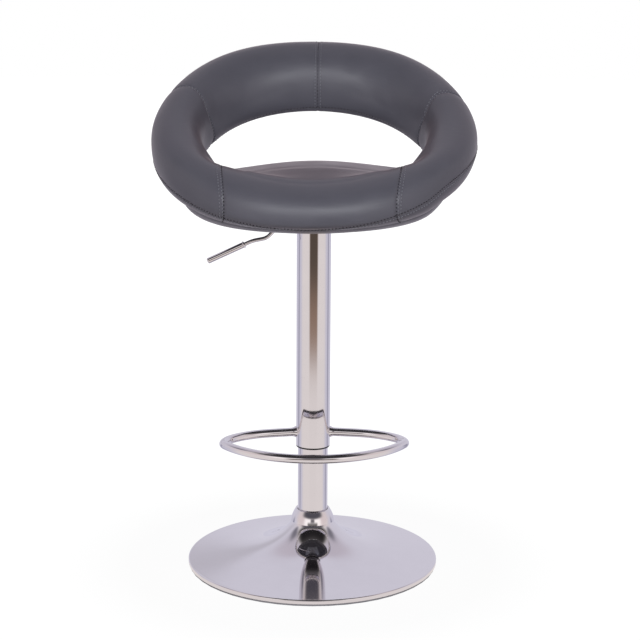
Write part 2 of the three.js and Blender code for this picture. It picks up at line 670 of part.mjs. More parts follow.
function pivotBar(radius, halfLength, sides) {
  const from = new THREE.Vector3(-LEVER_PIVOT, -halfLength, LEVER_AXIS);
  const to = new THREE.Vector3(-LEVER_PIVOT, halfLength, LEVER_AXIS);
  return straightBar(from, to, radius, sides);
}

function leverPoint(reach, drop) {
  return new THREE.Vector3(-reach, 0, LEVER_AXIS - drop);
}

function makeLever() {
  const webTop = PLATE_BOTTOM - SEAT_GAP;
  const earInner = LEVER_RADIUS + RUN_GAP;
  const earOuter = earInner + EAR_THICKNESS;
  const xs = [-LEVER_PIVOT - EAR_HALF_LENGTH, -LEVER_PIVOT + EAR_HALF_LENGTH];
  const web = block(xs, [-earOuter, earOuter], [webTop - EAR_THICKNESS, webTop]);
  let bracket = toSolid(web);
  [-1, 1].forEach((side) => {
    const ys = [side * earInner, side * earOuter].sort((p, q) => p - q);
    bracket = bracket.add(toSolid(block(xs, ys, [webTop - EAR_DROP, webTop])));
  });
  const pinBore = PIN_RADIUS + SEAT_GAP;
  bracket = bracket.subtract(toSolid(pivotBar(pinBore, earOuter + CUT_OVER, SMALL)));
  add('lever_bracket', bracket, STEEL);
  add('lever_pivot_pin', pivotBar(PIN_RADIUS, earOuter + EAR_THICKNESS, SMALL), STEEL);

  const gripLine = leverPoint(GRIP_END, GRIP_END_DROP).sub(leverPoint(GRIP_START, GRIP_START_DROP));
  const along = gripLine.clone().normalize();
  const gripStart = leverPoint(GRIP_START, GRIP_START_DROP);
  const gripEnd = leverPoint(GRIP_END, GRIP_END_DROP);
  const rodEnd = gripEnd.clone().addScaledVector(along, -GRIP_TIP - SEAT_GAP);
  const path = new THREE.CurvePath();
  const corners = [
    leverPoint(-LEVER_INNER_END, 0),
    leverPoint(LEVER_ELBOW, 0),
    leverPoint(LEVER_KNEE, LEVER_KNEE_DROP),
    gripStart.clone().addScaledVector(along, -GRIP_RING_LENGTH - LEVER_SETBACK * 2),
    rodEnd,
  ];
  bentPath(path, corners, LEVER_SETBACK);
  const rod = toSolid(bar(path, LEVER_RADIUS - SEAT_GAP, LEVER_STEPS, LEVER_SIDES));
  add('lever_rod', rod.subtract(toSolid(pivotBar(pinBore, earOuter, SMALL))), CHROME);

  const sleeveBore = LEVER_RADIUS;
  const length = gripLine.length();
  const sleeve = [
    [sleeveBore, 0],
    [GRIP_RADIUS - GRIP_WALL / 2, 0],
    [GRIP_RADIUS, GRIP_WALL],
    [GRIP_RADIUS, length - GRIP_TIP],
    [GRIP_RADIUS - GRIP_TIP, length],
    [0, length],
    [0, length - GRIP_TIP],
    [sleeveBore, length - GRIP_TIP],
  ];
  const lay = new THREE.Quaternion().setFromUnitVectors(new THREE.Vector3(0, 0, 1), along);
  const place = (geometry) => geometry.applyQuaternion(lay).translate(gripStart.x, gripStart.y, gripStart.z);
  add('lever_grip', place(turned(sleeve, SMALL)), CHROME);
  const ringEnd = -SEAT_GAP;
  const ring = tubeRing(sleeveBore, GRIP_RING_RADIUS, ringEnd - GRIP_RING_LENGTH, ringEnd, SMALL);
  add('lever_grip_ring', place(ring), STEEL);
}

/** Straight runs joined by curved bends that start one setback before each corner. */
function bentPath(path, corners, setback) {
  let from = corners[0];
  for (let i = 1; i < corners.length - 1; i += 1) {
    const here = corners[i];
    const back = corners[i - 1].clone().sub(here).setLength(setback).add(here);
    const ahead = corners[i + 1].clone().sub(here).setLength(setback).add(here);
    path.add(new THREE.LineCurve3(from, back));
    path.add(new THREE.QuadraticBezierCurve3(back, here, ahead));
    from = ahead;
  }
  path.add(new THREE.LineCurve3(from, corners[corners.length - 1]));
}

/** Smooth value round the hoop through equally spaced stations, as a cosine series. */
function around(stations, turn) {
  const last = stations.length - 1;
  const weight = (k) => (k === 0 || k === last ? 0.5 : 1);
  let value = 0;
  for (let k = 0; k <= last; k += 1) {
    let sum = 0;
    for (let j = 0; j <= last; j += 1) sum += weight(j) * stations[j] * Math.cos((Math.PI * j * k) / last);
    value += weight(k) * (2 / last) * sum * Math.cos(k * turn);
  }
  return value;
}

/** One outline of the roll as [radius, height], counter-clockwise from the inner point. */
function rollOutline(turn) {
  const inner = [around(ROLL_INNER_RADIUS, turn), around(ROLL_INNER_HEIGHT, turn)];
  const crest = [around(ROLL_CREST_RADIUS, turn), around(ROLL_CREST_HEIGHT, turn)];
  const outer = [around(ROLL_OUTER_RADIUS, turn), around(ROLL_OUTER_HEIGHT, turn)];
  const under = [around(ROLL_UNDER_RADIUS, turn), around(ROLL_UNDER_HEIGHT, turn)];
  const power = 2 / ROLL_FULLNESS;
  const steps = ROLL_FACETS / 4;
  const outline = [];
  const quarter = (side, pole, fromSide) => {
    for (let i = 0; i < steps; i += 1) {
      const t = (Math.PI / 2) * (fromSide ? i / steps : 1 - i / steps);
      outline.push([
        pole[0] + (side[0] - pole[0]) * Math.cos(t) ** power,
        side[1] + (pole[1] - side[1]) * Math.sin(t) ** power,
      ]);
    }
  };
  quarter(inner, crest, true);
  quarter(outer, crest, false);
  quarter(outer, under, true);
  quarter(inner, under, false);
  return outline;
}

function onHoop(turn, radius, height) {
  return new THREE.Vector3(radius * Math.sin(turn), -radius * Math.cos(turn) - SEAT_FORWARD, height);
}

/** Angles round the hoop, closer together where a seam draws the roll in. */
function hoopTurns() {
  const clear = SEAM_DRAW_ANGLE * SEAM_CLEAR_SHARE;
  const even = Array.from({ length: HOOP_TURNS }, (_, i) => (360 * i) / HOOP_TURNS);
  const degrees = even.filter((at) => HOOP_SEAMS.every((seam) => Math.abs(at - seam) > clear));
  HOOP_SEAMS.forEach((seam) => {
    SEAM_STATION_SHARES.forEach((share) => degrees.push(seam + share * SEAM_DRAW_ANGLE));
  });
  return degrees.sort((p, q) => p - q).map(THREE.MathUtils.degToRad);
}

/** How far the stitching pulls the cover in at this angle. */
function seamDraw(turn) {
  const pull = HOOP_SEAMS.map((seam) => {
    const away = (THREE.MathUtils.radToDeg(turn) - seam) / SEAM_DRAW_ANGLE;
    return SEAM_DRAW * Math.exp(-SEAM_STEEPNESS * away ** 2);
  });
  return Math.max(...pull);
}

function makeRoll() {
  const rows = hoopTurns().map((turn) => {
    const outline = rollOutline(turn).map(([radius, height]) => onHoop(turn, radius, height));
    const middle = new THREE.Vector3();
    outline.forEach((point) => middle.addScaledVector(point, 1 / outline.length));
    const draw = seamDraw(turn);
    outline.forEach((point) => point.lerp(middle, draw / point.distanceTo(middle)));
    return outline;
  });
  return toSolid(lofted(rows, true));
}

/** Height of the pad's crowned top at a share of the way out to its top edge. */
function padHeight(turn, share) {
  const radius = share * around(PAD_TOP_RADIUS, turn);
  const y = -radius * Math.cos(turn);
  const x = radius * Math.sin(turn);
  const along = ((y - PAD_CROWN_PLACE) ** 2) / (2 * PAD_CROWN_RADIUS);
  const across = PAD_SIDE_FALL * (x / PAD_SIDE_FALL_REACH) ** 2;
  const crown = PAD_CROWN_HEIGHT - along - across;
  return crown + (around(PAD_TOP_HEIGHT, turn) - crown) * share ** PAD_FILLET_POWER;
}

/** Lower outline of the pad, grown outward by the given amount. */
function padUnder(turn, grow) {
  const side = around(PAD_SIDE_RADIUS, turn) + grow;
  const height = around(PAD_SIDE_HEIGHT, turn);
  const bottom = BOARD_BOTTOM - grow;
  const outline = [];
  for (let i = 0; i <= UNDER_STEPS; i += 1) {
    const t = (Math.PI / 2) * (i / UNDER_STEPS);
    outline.push([
      PAD_FLAT_RADIUS + (side - PAD_FLAT_RADIUS) * Math.cos(t),
      height - (height - bottom) * Math.sin(t),
    ]);
  }
  return outline;
}

/** Dished shell under the pad, between two offsets from it, with its rim raised. */
function panShell(inner, outer, rimLift) {
  const rows = [];
  for (let i = 0; i < HOOP_TURNS; i += 1) {
    const turn = (2 * Math.PI * i) / HOOP_TURNS;
    const inside = padUnder(turn, inner);
    const outside = padUnder(turn, outer);
    inside[0][1] += rimLift;
    outside[0][1] += rimLift;
    const ends = [[0, BOARD_BOTTOM - inner], [0, BOARD_BOTTOM - outer]];
    const outline = [ends[0], ...inside.reverse(), ...outside, ends[1]];
    rows.push(outline.map(([radius, height]) => onHoop(turn, radius, height)));
  }
  return toSolid(lofted(rows, false));
}

function makePadBody() {
  const rows = [];
  for (let i = 0; i < HOOP_TURNS; i += 1) {
    const turn = (2 * Math.PI * i) / HOOP_TURNS;
    const top = PAD_TOP_SHARES.map((share) => [share * around(PAD_TOP_RADIUS, turn), padHeight(turn, share)]);
    const under = padUnder(turn, 0);
    const outline = [...top, ...under, [0, BOARD_BOTTOM]];
    rows.push(outline.map(([radius, height]) => onHoop(turn, radius, height)));
  }
  return toSolid(lofted(rows, false));
}

/** Upright block over the sewn seat strip, which narrows to the front, grown by the given amount. */
function seatStrip(grow) {
  const edge = [
    [SEAT_SEAM_FRONT + grow, -CUT_REACH],
    [SEAT_SEAM_FRONT + grow, -SEAT_SEAM_FRONT_PLACE],
    [SEAT_SEAM_BEND + grow, -SEAT_SEAM_BEND_PLACE],
    [SEAT_SEAM_REAR + grow, SEAT_SEAM_REAR_PLACE],
    [SEAT_SEAM_REAR + grow, CUT_REACH],
  ];
  const other = edge.map(([x, y]) => [-x, y]).reverse();
  const plan = [...edge, ...other].map(([x, y]) => new THREE.Vector2(x, y));
  return toSolid(slabOf(new THREE.Shape(plan), 0, CUT_HEIGHT));
}

/** Upright wedge that holds one range of angles round the hoop, between two degrees. */
function sector(from, to) {
  const plan = [new THREE.Vector2(0, 0)];
  for (let i = 0; i <= SECTOR_STEPS; i += 1) {
    const turn = THREE.MathUtils.degToRad(from + ((to - from) * i) / SECTOR_STEPS);
    plan.push(new THREE.Vector2(CUT_REACH * Math.sin(turn), -CUT_REACH * Math.cos(turn)));
  }
  return toSolid(slabOf(new THREE.Shape(plan), 0, CUT_HEIGHT).translate(0, -SEAT_FORWARD, 0));
}

/** Centre line of the steel hoop that runs in the roll, from one board fixing to the other. */
function hoopLine() {
  const centre = (degrees) => {
    const turn = THREE.MathUtils.degToRad(degrees);
    const radius = (around(ROLL_INNER_RADIUS, turn) + around(ROLL_OUTER_RADIUS, turn)) / 2;
    const height = (around(ROLL_CREST_HEIGHT, turn) + around(ROLL_UNDER_HEIGHT, turn)) / 2;
    return onHoop(turn, radius, height);
  };
  const end = THREE.MathUtils.degToRad(HOOP_END_ANGLE);
  const half = [
    onHoop(end, HOOP_END_REACH, HOOP_LIE),
    onHoop(end, (HOOP_END_REACH + HOOP_LIE_REACH) / 2, HOOP_LIE),
    onHoop(end, HOOP_LIE_REACH, HOOP_LIE),
    onHoop(end, HOOP_BEND_REACH, HOOP_LIE + HOOP_BEND_RISE),
    onHoop(end, HOOP_RISE_REACH, HOOP_LIE + HOOP_RISE),
  ];
  for (let degrees = HOOP_ARM_ANGLE; degrees < BACK_MIDDLE_ANGLE; degrees += HOOP_STATION_STEP) {
    half.push(centre(degrees));
  }
  const other = half.map((point) => new THREE.Vector3(-point.x, point.y, point.z)).reverse();
  return new THREE.CatmullRomCurve3([...half, centre(BACK_MIDDLE_ANGLE), ...other], false, 'centripetal');
}

/** Saddle strap across a hoop end: an arch with two feet on the board. */
function saddle(side, grow) {
  const middle = (HOOP_END_REACH + HOOP_LIE_REACH) / 2;
  const half = SADDLE_LENGTH / 2 + grow;
  const arch = HOOP_RADIUS + SEAT_GAP;
  const outer = arch + SADDLE_WALL + grow;
  const foot = HOOP_RADIUS + SADDLE_FOOT + grow;
  const floor = BOARD_TOP + SEAT_GAP - HOOP_LIE;
  const shape = new THREE.Shape();
  shape.moveTo(-foot, floor);
  shape.lineTo(-foot, floor + SADDLE_WALL + grow);
  shape.lineTo(-outer, floor + SADDLE_WALL + grow);
  shape.lineTo(-outer, 0);
  shape.absarc(0, 0, outer, Math.PI, 0, true);
  shape.lineTo(outer, floor + SADDLE_WALL + grow);
  shape.lineTo(foot, floor + SADDLE_WALL + grow);
  shape.lineTo(foot, floor);
  if (grow === 0) {
    shape.lineTo(arch, floor);
    shape.lineTo(arch, 0);
    shape.absarc(0, 0, arch, 0, Math.PI, false);
    shape.lineTo(-arch, floor);
  }
  const options = { depth: half * 2, bevelEnabled: false, curveSegments: ARCH_STEPS };
  const strap = new THREE.ExtrudeGeometry(shape, options).translate(0, 0, -half);
  const turn = side * THREE.MathUtils.degToRad(HOOP_END_ANGLE);
  strap.rotateX(Math.PI / 2).rotateZ(turn);
  const { x, y, z } = onHoop(turn, middle, HOOP_LIE);
  return strap.translate(x, y, z);
}

function makeSeatShell() {
  const blank = disc(BOARD_RADIUS, BOARD_BOTTOM, BOARD_TOP, FINE);
  let board = toSolid(blank.translate(0, -SEAT_FORWARD, 0));
  boltPlaces().forEach(([x, y]) => {
    const hole = disc(TEE_BARREL_RADIUS + SEAT_GAP, BOARD_BOTTOM - CUT_OVER, BOARD_TOP + CUT_OVER, SMALL);
    board = board.subtract(toSolid(hole.translate(x, y, 0)));
  });
  add('seat_board', board, PLYWOOD);

  let pan = panShell(SEAT_GAP, SEAT_GAP + PAN_WALL, 0);
  boltPlaces().forEach(([x, y]) => {
    const hole = disc(BOLT_RADIUS + SEAT_GAP, PAN_BOTTOM - CUT_OVER, PAN_TOP + CUT_OVER, SMALL);
    pan = pan.subtract(toSolid(hole.translate(x, y, 0)));
  });
  add('underside_cover', pan, LEATHER);

  const line = hoopLine();
  add('hoop_frame', bar(line, HOOP_RADIUS, HOOP_STEPS, HOOP_SIDES), STEEL);
  [['right', 1], ['left', -1]].forEach(([name, side]) => {
    add(`hoop_saddle_${name}`, saddle(side, 0), STEEL);
  });
}

/** What the foam leaves room for: board, tee nuts, hoop and saddles. */
function foamCavities() {
  const boardRoom = disc(BOARD_RADIUS + SEAT_GAP, 0, BOARD_TOP + SEAT_GAP, FINE);
  let room = toSolid(boardRoom.translate(0, -SEAT_FORWARD, 0));
  const teeTop = BOARD_TOP + SEAT_GAP + TEE_FLANGE_THICKNESS + SEAT_GAP;
  boltPlaces().forEach(([x, y]) => {
    const well = disc(TEE_FLANGE_RADIUS + SEAT_GAP, BOARD_BOTTOM, teeTop, BOLT_SIDES);
    room = room.add(toSolid(well.translate(x, y, 0)));
  });
  room = room.add(toSolid(bar(hoopLine(), HOOP_RADIUS + HOOP_CHANNEL_GAP, HOOP_STEPS, HOOP_SIDES)));
  [1, -1].forEach((side) => {
    room = room.add(toSolid(saddle(side, SEAT_GAP)));
  });
  return room;
}

function makeUpholstery() {
  const roll = makeRoll();
  const body = makePadBody();
  const cavities = foamCavities();
  const half = SEAT_GAP / 2;
  const seamGap = THREE.MathUtils.radToDeg(half / ROLL_INNER_RADIUS[ROLL_INNER_RADIUS.length - 1]);
  const leftSeam = 2 * BACK_MIDDLE_ANGLE - BACK_SEAM_ANGLE;
  const rearOfArms = sector(BACK_SEAM_ANGLE - seamGap, leftSeam + seamGap);
  const panRoom = panShell(0, SEAT_GAP + PAN_WALL + SEAT_GAP, SEAT_GAP);
  const bucket = roll.subtract(rearOfArms).add(body).subtract(cavities).subtract(panRoom);
  add('seat_cushion', bucket.intersect(seatStrip(-half)), LEATHER);
  const arms = bucket.subtract(seatStrip(half));
  const side = (sign) => {
    const xs = [0, sign * CUT_REACH].sort((p, q) => p - q);
    return toSolid(block(xs, [-CUT_REACH, CUT_REACH], [0, CUT_HEIGHT]));
  };
  add('arm_pad_right', arms.intersect(side(1)), LEATHER);
  add('arm_pad_left', arms.intersect(side(-1)), LEATHER);

  const back = (from, to) => roll.intersect(sector(from, to)).subtract(cavities);
  add('back_pad_right', back(BACK_SEAM_ANGLE + seamGap, BACK_MIDDLE_ANGLE - seamGap), LEATHER);
  add('back_pad_left', back(BACK_MIDDLE_ANGLE + seamGap, leftSeam - seamGap), LEATHER);
}

makeBase();
makeColumn();
makeThrustBearing();
makeGasSpring();
makeShroud();
makeFootrest();
makeMountingPlate();
makeFasteners();
makeLever();
makeSeatShell();
makeUpholstery();

export default stool;
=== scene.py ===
import contextlib
import json
import math

import bmesh
import bpy
import numpy as np
from mathutils import Matrix, Vector
from mathutils.bvhtree import BVHTree

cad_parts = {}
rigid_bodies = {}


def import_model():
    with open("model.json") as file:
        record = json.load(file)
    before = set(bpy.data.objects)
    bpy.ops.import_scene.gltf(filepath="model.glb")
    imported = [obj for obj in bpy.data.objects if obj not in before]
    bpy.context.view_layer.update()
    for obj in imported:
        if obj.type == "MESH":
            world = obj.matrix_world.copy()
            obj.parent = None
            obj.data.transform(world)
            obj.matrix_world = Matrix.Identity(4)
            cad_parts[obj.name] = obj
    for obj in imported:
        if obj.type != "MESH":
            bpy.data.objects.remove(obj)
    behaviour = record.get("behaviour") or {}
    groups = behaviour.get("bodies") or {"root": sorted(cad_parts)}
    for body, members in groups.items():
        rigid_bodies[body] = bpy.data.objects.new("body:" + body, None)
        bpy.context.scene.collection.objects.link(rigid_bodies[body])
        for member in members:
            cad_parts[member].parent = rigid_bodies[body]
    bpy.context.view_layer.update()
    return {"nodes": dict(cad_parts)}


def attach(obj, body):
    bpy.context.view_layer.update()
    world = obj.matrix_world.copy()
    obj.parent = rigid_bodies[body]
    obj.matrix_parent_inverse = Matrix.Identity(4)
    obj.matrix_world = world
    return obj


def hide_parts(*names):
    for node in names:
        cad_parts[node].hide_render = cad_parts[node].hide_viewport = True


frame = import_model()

scene = bpy.context.scene


# Floor ring: a moulded rubber ring pressed on under the rim of the base, on which
# the stool stands.

def linear(red, green, blue):
    """Display values of 0 to 255 as linear ones: ((c / 255 + 0.055) / 1.055) to the power 2.4."""
    shares = (np.array([red, green, blue], float) / 255 + 0.055) / 1.055
    return (*np.power(shares, 2.4), 1.0)


def node_tree(block):
    """The nodes and the links of a material or world, switched on."""
    block.use_nodes = True
    return block.node_tree.nodes, block.node_tree.links


def set_inputs(node, values):
    """Set the node's inputs of these names."""
    for name, value in values.items():
        node.inputs[name].default_value = value


def join(links, *pairs):
    """Link each pair, given as a node, its output, a second node and its input."""
    for source, output, target, socket in pairs:
        links.new(source.outputs[output], target.inputs[socket])


def finish(name, colour, rough, metal=0.0, patch=0.06, tone=0.05, grain=0.002, relief=0.00004, spread=0.12,
           shine=0.5, fuzz=0.0, fuzz_colour=(255, 255, 255)):
    """A finish made of two noises in Object coordinates. The broad one, with patches of the given
    size, shifts the colour by the share tone and the roughness by the share spread. The fine one,
    with the given grain, raises the surface by up to relief. All sizes are metres. Shine is the
    specular level and fuzz the sheen of a cloth, in its own colour."""
    material = bpy.data.materials.new(name)
    nodes, links = node_tree(material)
    shader = nodes["Principled BSDF"]
    set_inputs(shader, {
        "Metallic": metal, "Specular IOR Level": shine, "Sheen Weight": fuzz, "Sheen Roughness": 0.45,
        "Sheen Tint": linear(*fuzz_colour),
    })
    place = nodes.new("ShaderNodeTexCoord")
    broad = nodes.new("ShaderNodeTexNoise")
    set_inputs(broad, {"Scale": 1 / patch, "Detail": 3})
    fine = nodes.new("ShaderNodeTexNoise")
    set_inputs(fine, {"Scale": 1 / grain, "Detail": 2})
    shade = nodes.new("ShaderNodeValToRGB")
    base = np.array(linear(*colour))[:3]
    for stop, position, share in zip(shade.color_ramp.elements, (0.3, 0.7), (1 - tone, 1 + tone)):
        stop.position = position
        stop.color = (*np.minimum(base * share, 1), 1)
    gloss = nodes.new("ShaderNodeMapRange")
    set_inputs(gloss, {
        "From Min": 0.3, "From Max": 0.7, "To Min": rough * (1 - spread), "To Max": rough * (1 + spread),
    })
    bump = nodes.new("ShaderNodeBump")
    set_inputs(bump, {"Strength": 1, "Distance": relief})
    join(
        links, (place, "Object", broad, "Vector"), (place, "Object", fine, "Vector"),
        (broad, "Fac", shade, "Fac"), (broad, "Fac", gloss, "Value"), (fine, "Fac", bump, "Height"),
        (shade, "Color", shader, "Base Color"), (gloss, "Result", shader, "Roughness"),
        (bump, "Normal", shader, "Normal"),
    )
    return material


def dress(names, material):
    """Give these CAD nodes, whose shapes stay, a finish of this scene."""
    for name in names:
        for slot in frame["nodes"][name].material_slots:
            slot.material = material


pale_rubber = finish("pale_rubber", (172, 171, 176), 0.5, grain=0.0012, relief=0.00004)
dress(["base_floor_ring"], pale_rubber)


# Base: a steel disc spun over a former, with a flared neck in the middle and a rim turned
# down over the rubber ring, then polished and chromed.

@contextlib.contextmanager
def editing(mesh):
    """The mesh as a bmesh, written back when the block ends."""
    work = bmesh.new()
    work.from_mesh(mesh)
    yield work
    work.to_mesh(mesh)
    work.free()


def new_piece(name, mesh, material):
    """A new object of the mesh, in one material."""
    mesh.materials.append(material)
    piece = bpy.data.objects.new(name, mesh)
    scene.collection.objects.link(piece)
    return piece


def grid_faces(rows, columns, rows_close=False, columns_close=False):
    """The corners of every cell of a grid of points that are numbered row by row."""
    row = np.arange(rows if rows_close else rows - 1)[:, None]
    column = np.arange(columns if columns_close else columns - 1)[None]
    below = (row + 1) % rows * columns
    beside = (column + 1) % columns
    corners = [row * columns + column, below + column, below + beside, row * columns + beside]
    return np.stack(corners, -1).reshape(-1, 4)


def skin(name, grid, material, rows_close, columns_close, crease=40):
    """The surface through a grid of points, row by row. A row or column closes on itself where
    said, points that coincide become one pole, and edges bent by more than the crease are sharp."""
    faces = grid_faces(*grid.shape[:2], rows_close, columns_close)
    mesh = bpy.data.meshes.new(name)
    mesh.from_pydata(grid.reshape(-1, 3), [], faces.tolist())
    with editing(mesh) as work:
        bmesh.ops.remove_doubles(work, verts=work.verts, dist=1e-6)
        bmesh.ops.recalc_face_normals(work, faces=work.faces)
    mesh.shade_smooth()
    mesh.set_sharp_from_angle(angle=math.radians(crease))
    return new_piece(name, mesh, material)


def spun(name, outline, material, steps, crease=40):
    """A piece of revolution: each [radius, height] of the closed outline goes round the column's
    axis as (radius cos a, radius sin a, height)."""
    radius, height = np.array(outline, float).T
    turn = np.linspace(0, 2 * np.pi, steps, endpoint=False)[:, None]
    grid = np.stack([radius * np.cos(turn), radius * np.sin(turn), height + 0 * turn], -1)
    return skin(name, grid, material, True, True, crease)


def rounded(corner, start, end, radius, steps):
    """Points of an arc of the given radius about the corner, from angle start to end in degrees."""
    angle = np.radians(np.linspace(start, end, steps))
    return np.stack([corner[0] + radius * np.cos(angle), corner[1] + radius * np.sin(angle)], -1)


BASE_RADIUS = 0.205
NECK_RADIUS = 0.031
DISC_WALL = 0.002
RIM_ROUND = 0.0022
RIM_BOTTOM = 0.0033
RIM_BEVEL = 0.0003
CONE_EDGE = 0.0095
CONE_RISE = 0.013
NECK_RISE = 0.0095
NECK_REACH = 0.0012
FLARE_RISE = 0.052
FLARE_REACH = 0.036

# the disc is a shallow cone with a wide flare and a short steep neck under the collar:
# height = 9.5 + 13 (1 - share) + 52 exp(-reach / 36) + 9.5 exp(-reach / 1.2), in millimetres
share = np.linspace(0, 1, 90) ** 1.7
reach = share * (BASE_RADIUS - NECK_RADIUS)
cone = CONE_EDGE + CONE_RISE * (1 - share)
neck = NECK_RISE * np.exp(-reach / NECK_REACH)
flare = FLARE_RISE * np.exp(-reach / FLARE_REACH)
slope = CONE_RISE / (BASE_RADIUS - NECK_RADIUS) + neck / NECK_REACH + flare / FLARE_REACH
face = np.stack([NECK_RADIUS + reach, cone + neck + flare], -1)
tilt = np.stack([slope, np.ones_like(slope)], -1) / np.hypot(1, slope)[:, None]
upper = face[face[:, 0] < BASE_RADIUS - RIM_ROUND]
lower = (face - tilt * DISC_WALL)[face[:, 0] < BASE_RADIUS - RIM_ROUND - DISC_WALL]
lower[0, 1] = upper[0, 1]
rim = rounded((BASE_RADIUS - RIM_ROUND, upper[-1, 1] - RIM_ROUND), 80, 0, RIM_ROUND, 7)
foot = np.array([
    [BASE_RADIUS, RIM_BOTTOM + RIM_BEVEL], [BASE_RADIUS - RIM_BEVEL, RIM_BOTTOM],
    [BASE_RADIUS - DISC_WALL, RIM_BOTTOM],
])
chrome = finish(
    "chromed_steel", (226, 223, 226), 0.05, 1.0, patch=0.03, tone=0.012, grain=0.01, relief=0.000003,
)
disc = spun("spun_base", np.vstack([upper, rim, foot, lower[::-1]]), chrome, 256, 50)
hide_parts("base_disc")
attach(disc, "base")


# Weight and socket: a cast ring glued into the hollow of the disc, and the welded steel
# socket with its flange that holds the column in the neck.

cast_iron = finish("cast_iron", (52, 53, 55), 0.7, 0.4, grain=0.0015, relief=0.0002)
bright_steel = finish("bright_steel", (150, 152, 155), 0.34, 0.9, patch=0.02, grain=0.0008, relief=0.00001)
dress(["base_weight"], cast_iron)
dress(["column_socket"], bright_steel)


# Collar: a chromed cone pressed over the neck, which hides the joint between the
# spun disc and the column.

COLLAR_RADIUS = 0.0360
COLLAR_BOTTOM = 0.0715
COLLAR_WALL = 0.0016
COLLAR_EDGE = 0.0002
COLLAR_TAPER = 0.0080
COLLAR_SWELL = 0.0009
COLLAR_RISE = 0.0191
COLLAR_BORE = 0.0248
COLLAR_LEDGE = 0.0843

# its side leans in by the taper and swells by the sine of half a turn on the way up
up = np.linspace(0.03, 1, 14)
collar_inside = COLLAR_RADIUS - COLLAR_WALL
collar_outline = np.vstack([
    [[collar_inside, COLLAR_BOTTOM + COLLAR_EDGE], [collar_inside + COLLAR_EDGE, COLLAR_BOTTOM]],
    [[COLLAR_RADIUS - COLLAR_EDGE, COLLAR_BOTTOM], [COLLAR_RADIUS, COLLAR_BOTTOM + COLLAR_EDGE]],
    np.stack([
        COLLAR_RADIUS - COLLAR_TAPER * up + COLLAR_SWELL * np.sin(np.pi * up),
        COLLAR_BOTTOM + COLLAR_EDGE + COLLAR_RISE * up,
    ], -1),
    rounded((0.0266, 0.0903), 20, 140, 0.0015, 8),
    [[COLLAR_BORE, 0.0909], [COLLAR_BORE, COLLAR_LEDGE], [0.0315, COLLAR_LEDGE]],
])
collar = spun("collar", collar_outline, chrome, 128)
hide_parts("base_collar")
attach(collar, "base")


# Column: the chromed outer tube, pressed into the socket and closed below by a floor with
# a hole for the piston rod. A nylon bush in its top guides the gas spring.

COLUMN_RADIUS = 0.0243
COLUMN_BORE = 0.0223
COLUMN_BOTTOM = 0.016
COLUMN_FLOOR = 0.019
COLUMN_TOP = 0.44
COLUMN_EDGE = 0.0004
ROD_HOLE = 0.0045

column = spun("column", [
    [ROD_HOLE, COLUMN_BOTTOM],
    [COLUMN_RADIUS - COLUMN_EDGE, COLUMN_BOTTOM], [COLUMN_RADIUS, COLUMN_BOTTOM + COLUMN_EDGE],
    [COLUMN_RADIUS, COLUMN_TOP - COLUMN_EDGE], [COLUMN_RADIUS - COLUMN_EDGE, COLUMN_TOP],
    [COLUMN_BORE, COLUMN_TOP], [COLUMN_BORE, COLUMN_FLOOR], [ROD_HOLE, COLUMN_FLOOR],
], chrome, 128)
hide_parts("column_tube")
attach(column, "base")
black_nylon = finish("black_nylon", (24, 25, 27), 0.42, patch=0.02, grain=0.0009, relief=0.00002)
dress(["column_guide_bush"], black_nylon)


# Thrust bearing and gas spring, inside the column: two hardened races with a ball cage, the
# clip and rod in the tube's floor, the piston, its bumper and gland, and the black cylinder
# with the release button in its head.

hard_steel = finish("hardened_steel", (172, 174, 178), 0.18, 1.0, patch=0.01, tone=0.03, grain=0.0005)
dress(["thrust_washer_lower", "thrust_washer_upper", "thrust_ball_cage"], hard_steel)
dress(["rod_clip", "release_button"], bright_steel)
dress(["piston_rod"], chrome)
dress(["piston", "cylinder_gland"], black_nylon)
moulded_rubber = finish("moulded_rubber", (40, 40, 42), 0.8, grain=0.0012, relief=0.00008)
dress(["rubber_bumper"], moulded_rubber)
black_enamel = finish("black_enamel", (33, 33, 35), 0.32, patch=0.03, grain=0.0012, relief=0.00002)
dress(["gas_cylinder"], black_enamel)


# Shroud: the chromed tube that hangs from the seat's plate and covers the column. A slot in
# its top lets the lever in, a black bush in its lower end runs on the column, and a ring
# centres it on the taper socket.

SHROUD_RADIUS = 0.0275
SHROUD_WALL = 0.0015
SHROUD_BOTTOM = 0.2005
SHROUD_TOP = 0.5697
SLOT_HALF_WIDTH = 0.0048
SLOT_FLOOR = 0.551

steps = 128
turn = np.linspace(0, 2 * np.pi, steps, endpoint=False) + np.pi / steps
slot_angle = math.asin(SLOT_HALF_WIDTH / SHROUD_RADIUS)
away = np.angle(np.exp(1j * (turn - np.pi)))
turn[np.argmin(abs(away - slot_angle))] = np.pi + slot_angle
turn[np.argmin(abs(away + slot_angle))] = np.pi - slot_angle
level = np.array([SHROUD_BOTTOM, 0.38, SLOT_FLOOR, 0.56, SHROUD_TOP])
wall = np.stack([
    SHROUD_RADIUS * np.cos(turn) + 0 * level[:, None],
    SHROUD_RADIUS * np.sin(turn) + 0 * level[:, None],
    level[:, None] + 0 * turn,
], -1)
shroud = skin("shroud", wall, chrome, False, True)
with editing(shroud.data) as work:
    middles = [(side, side.calc_center_median()) for side in work.faces]
    bmesh.ops.delete(work, context="FACES", geom=[
        side for side, middle in middles
        if middle.z > SLOT_FLOOR and middle.x < 0 and abs(middle.y) < SLOT_HALF_WIDTH
    ])
thicken = shroud.modifiers.new("wall", "SOLIDIFY")
thicken.thickness = SHROUD_WALL
thicken.offset = -1


def apply_all(piece):
    """Turn what the modifiers show into the piece's own mesh."""
    bpy.context.view_layer.update()
    shown = piece.evaluated_get(bpy.context.evaluated_depsgraph_get())
    mesh = bpy.data.meshes.new_from_object(shown)
    piece.modifiers.clear()
    piece.data = mesh


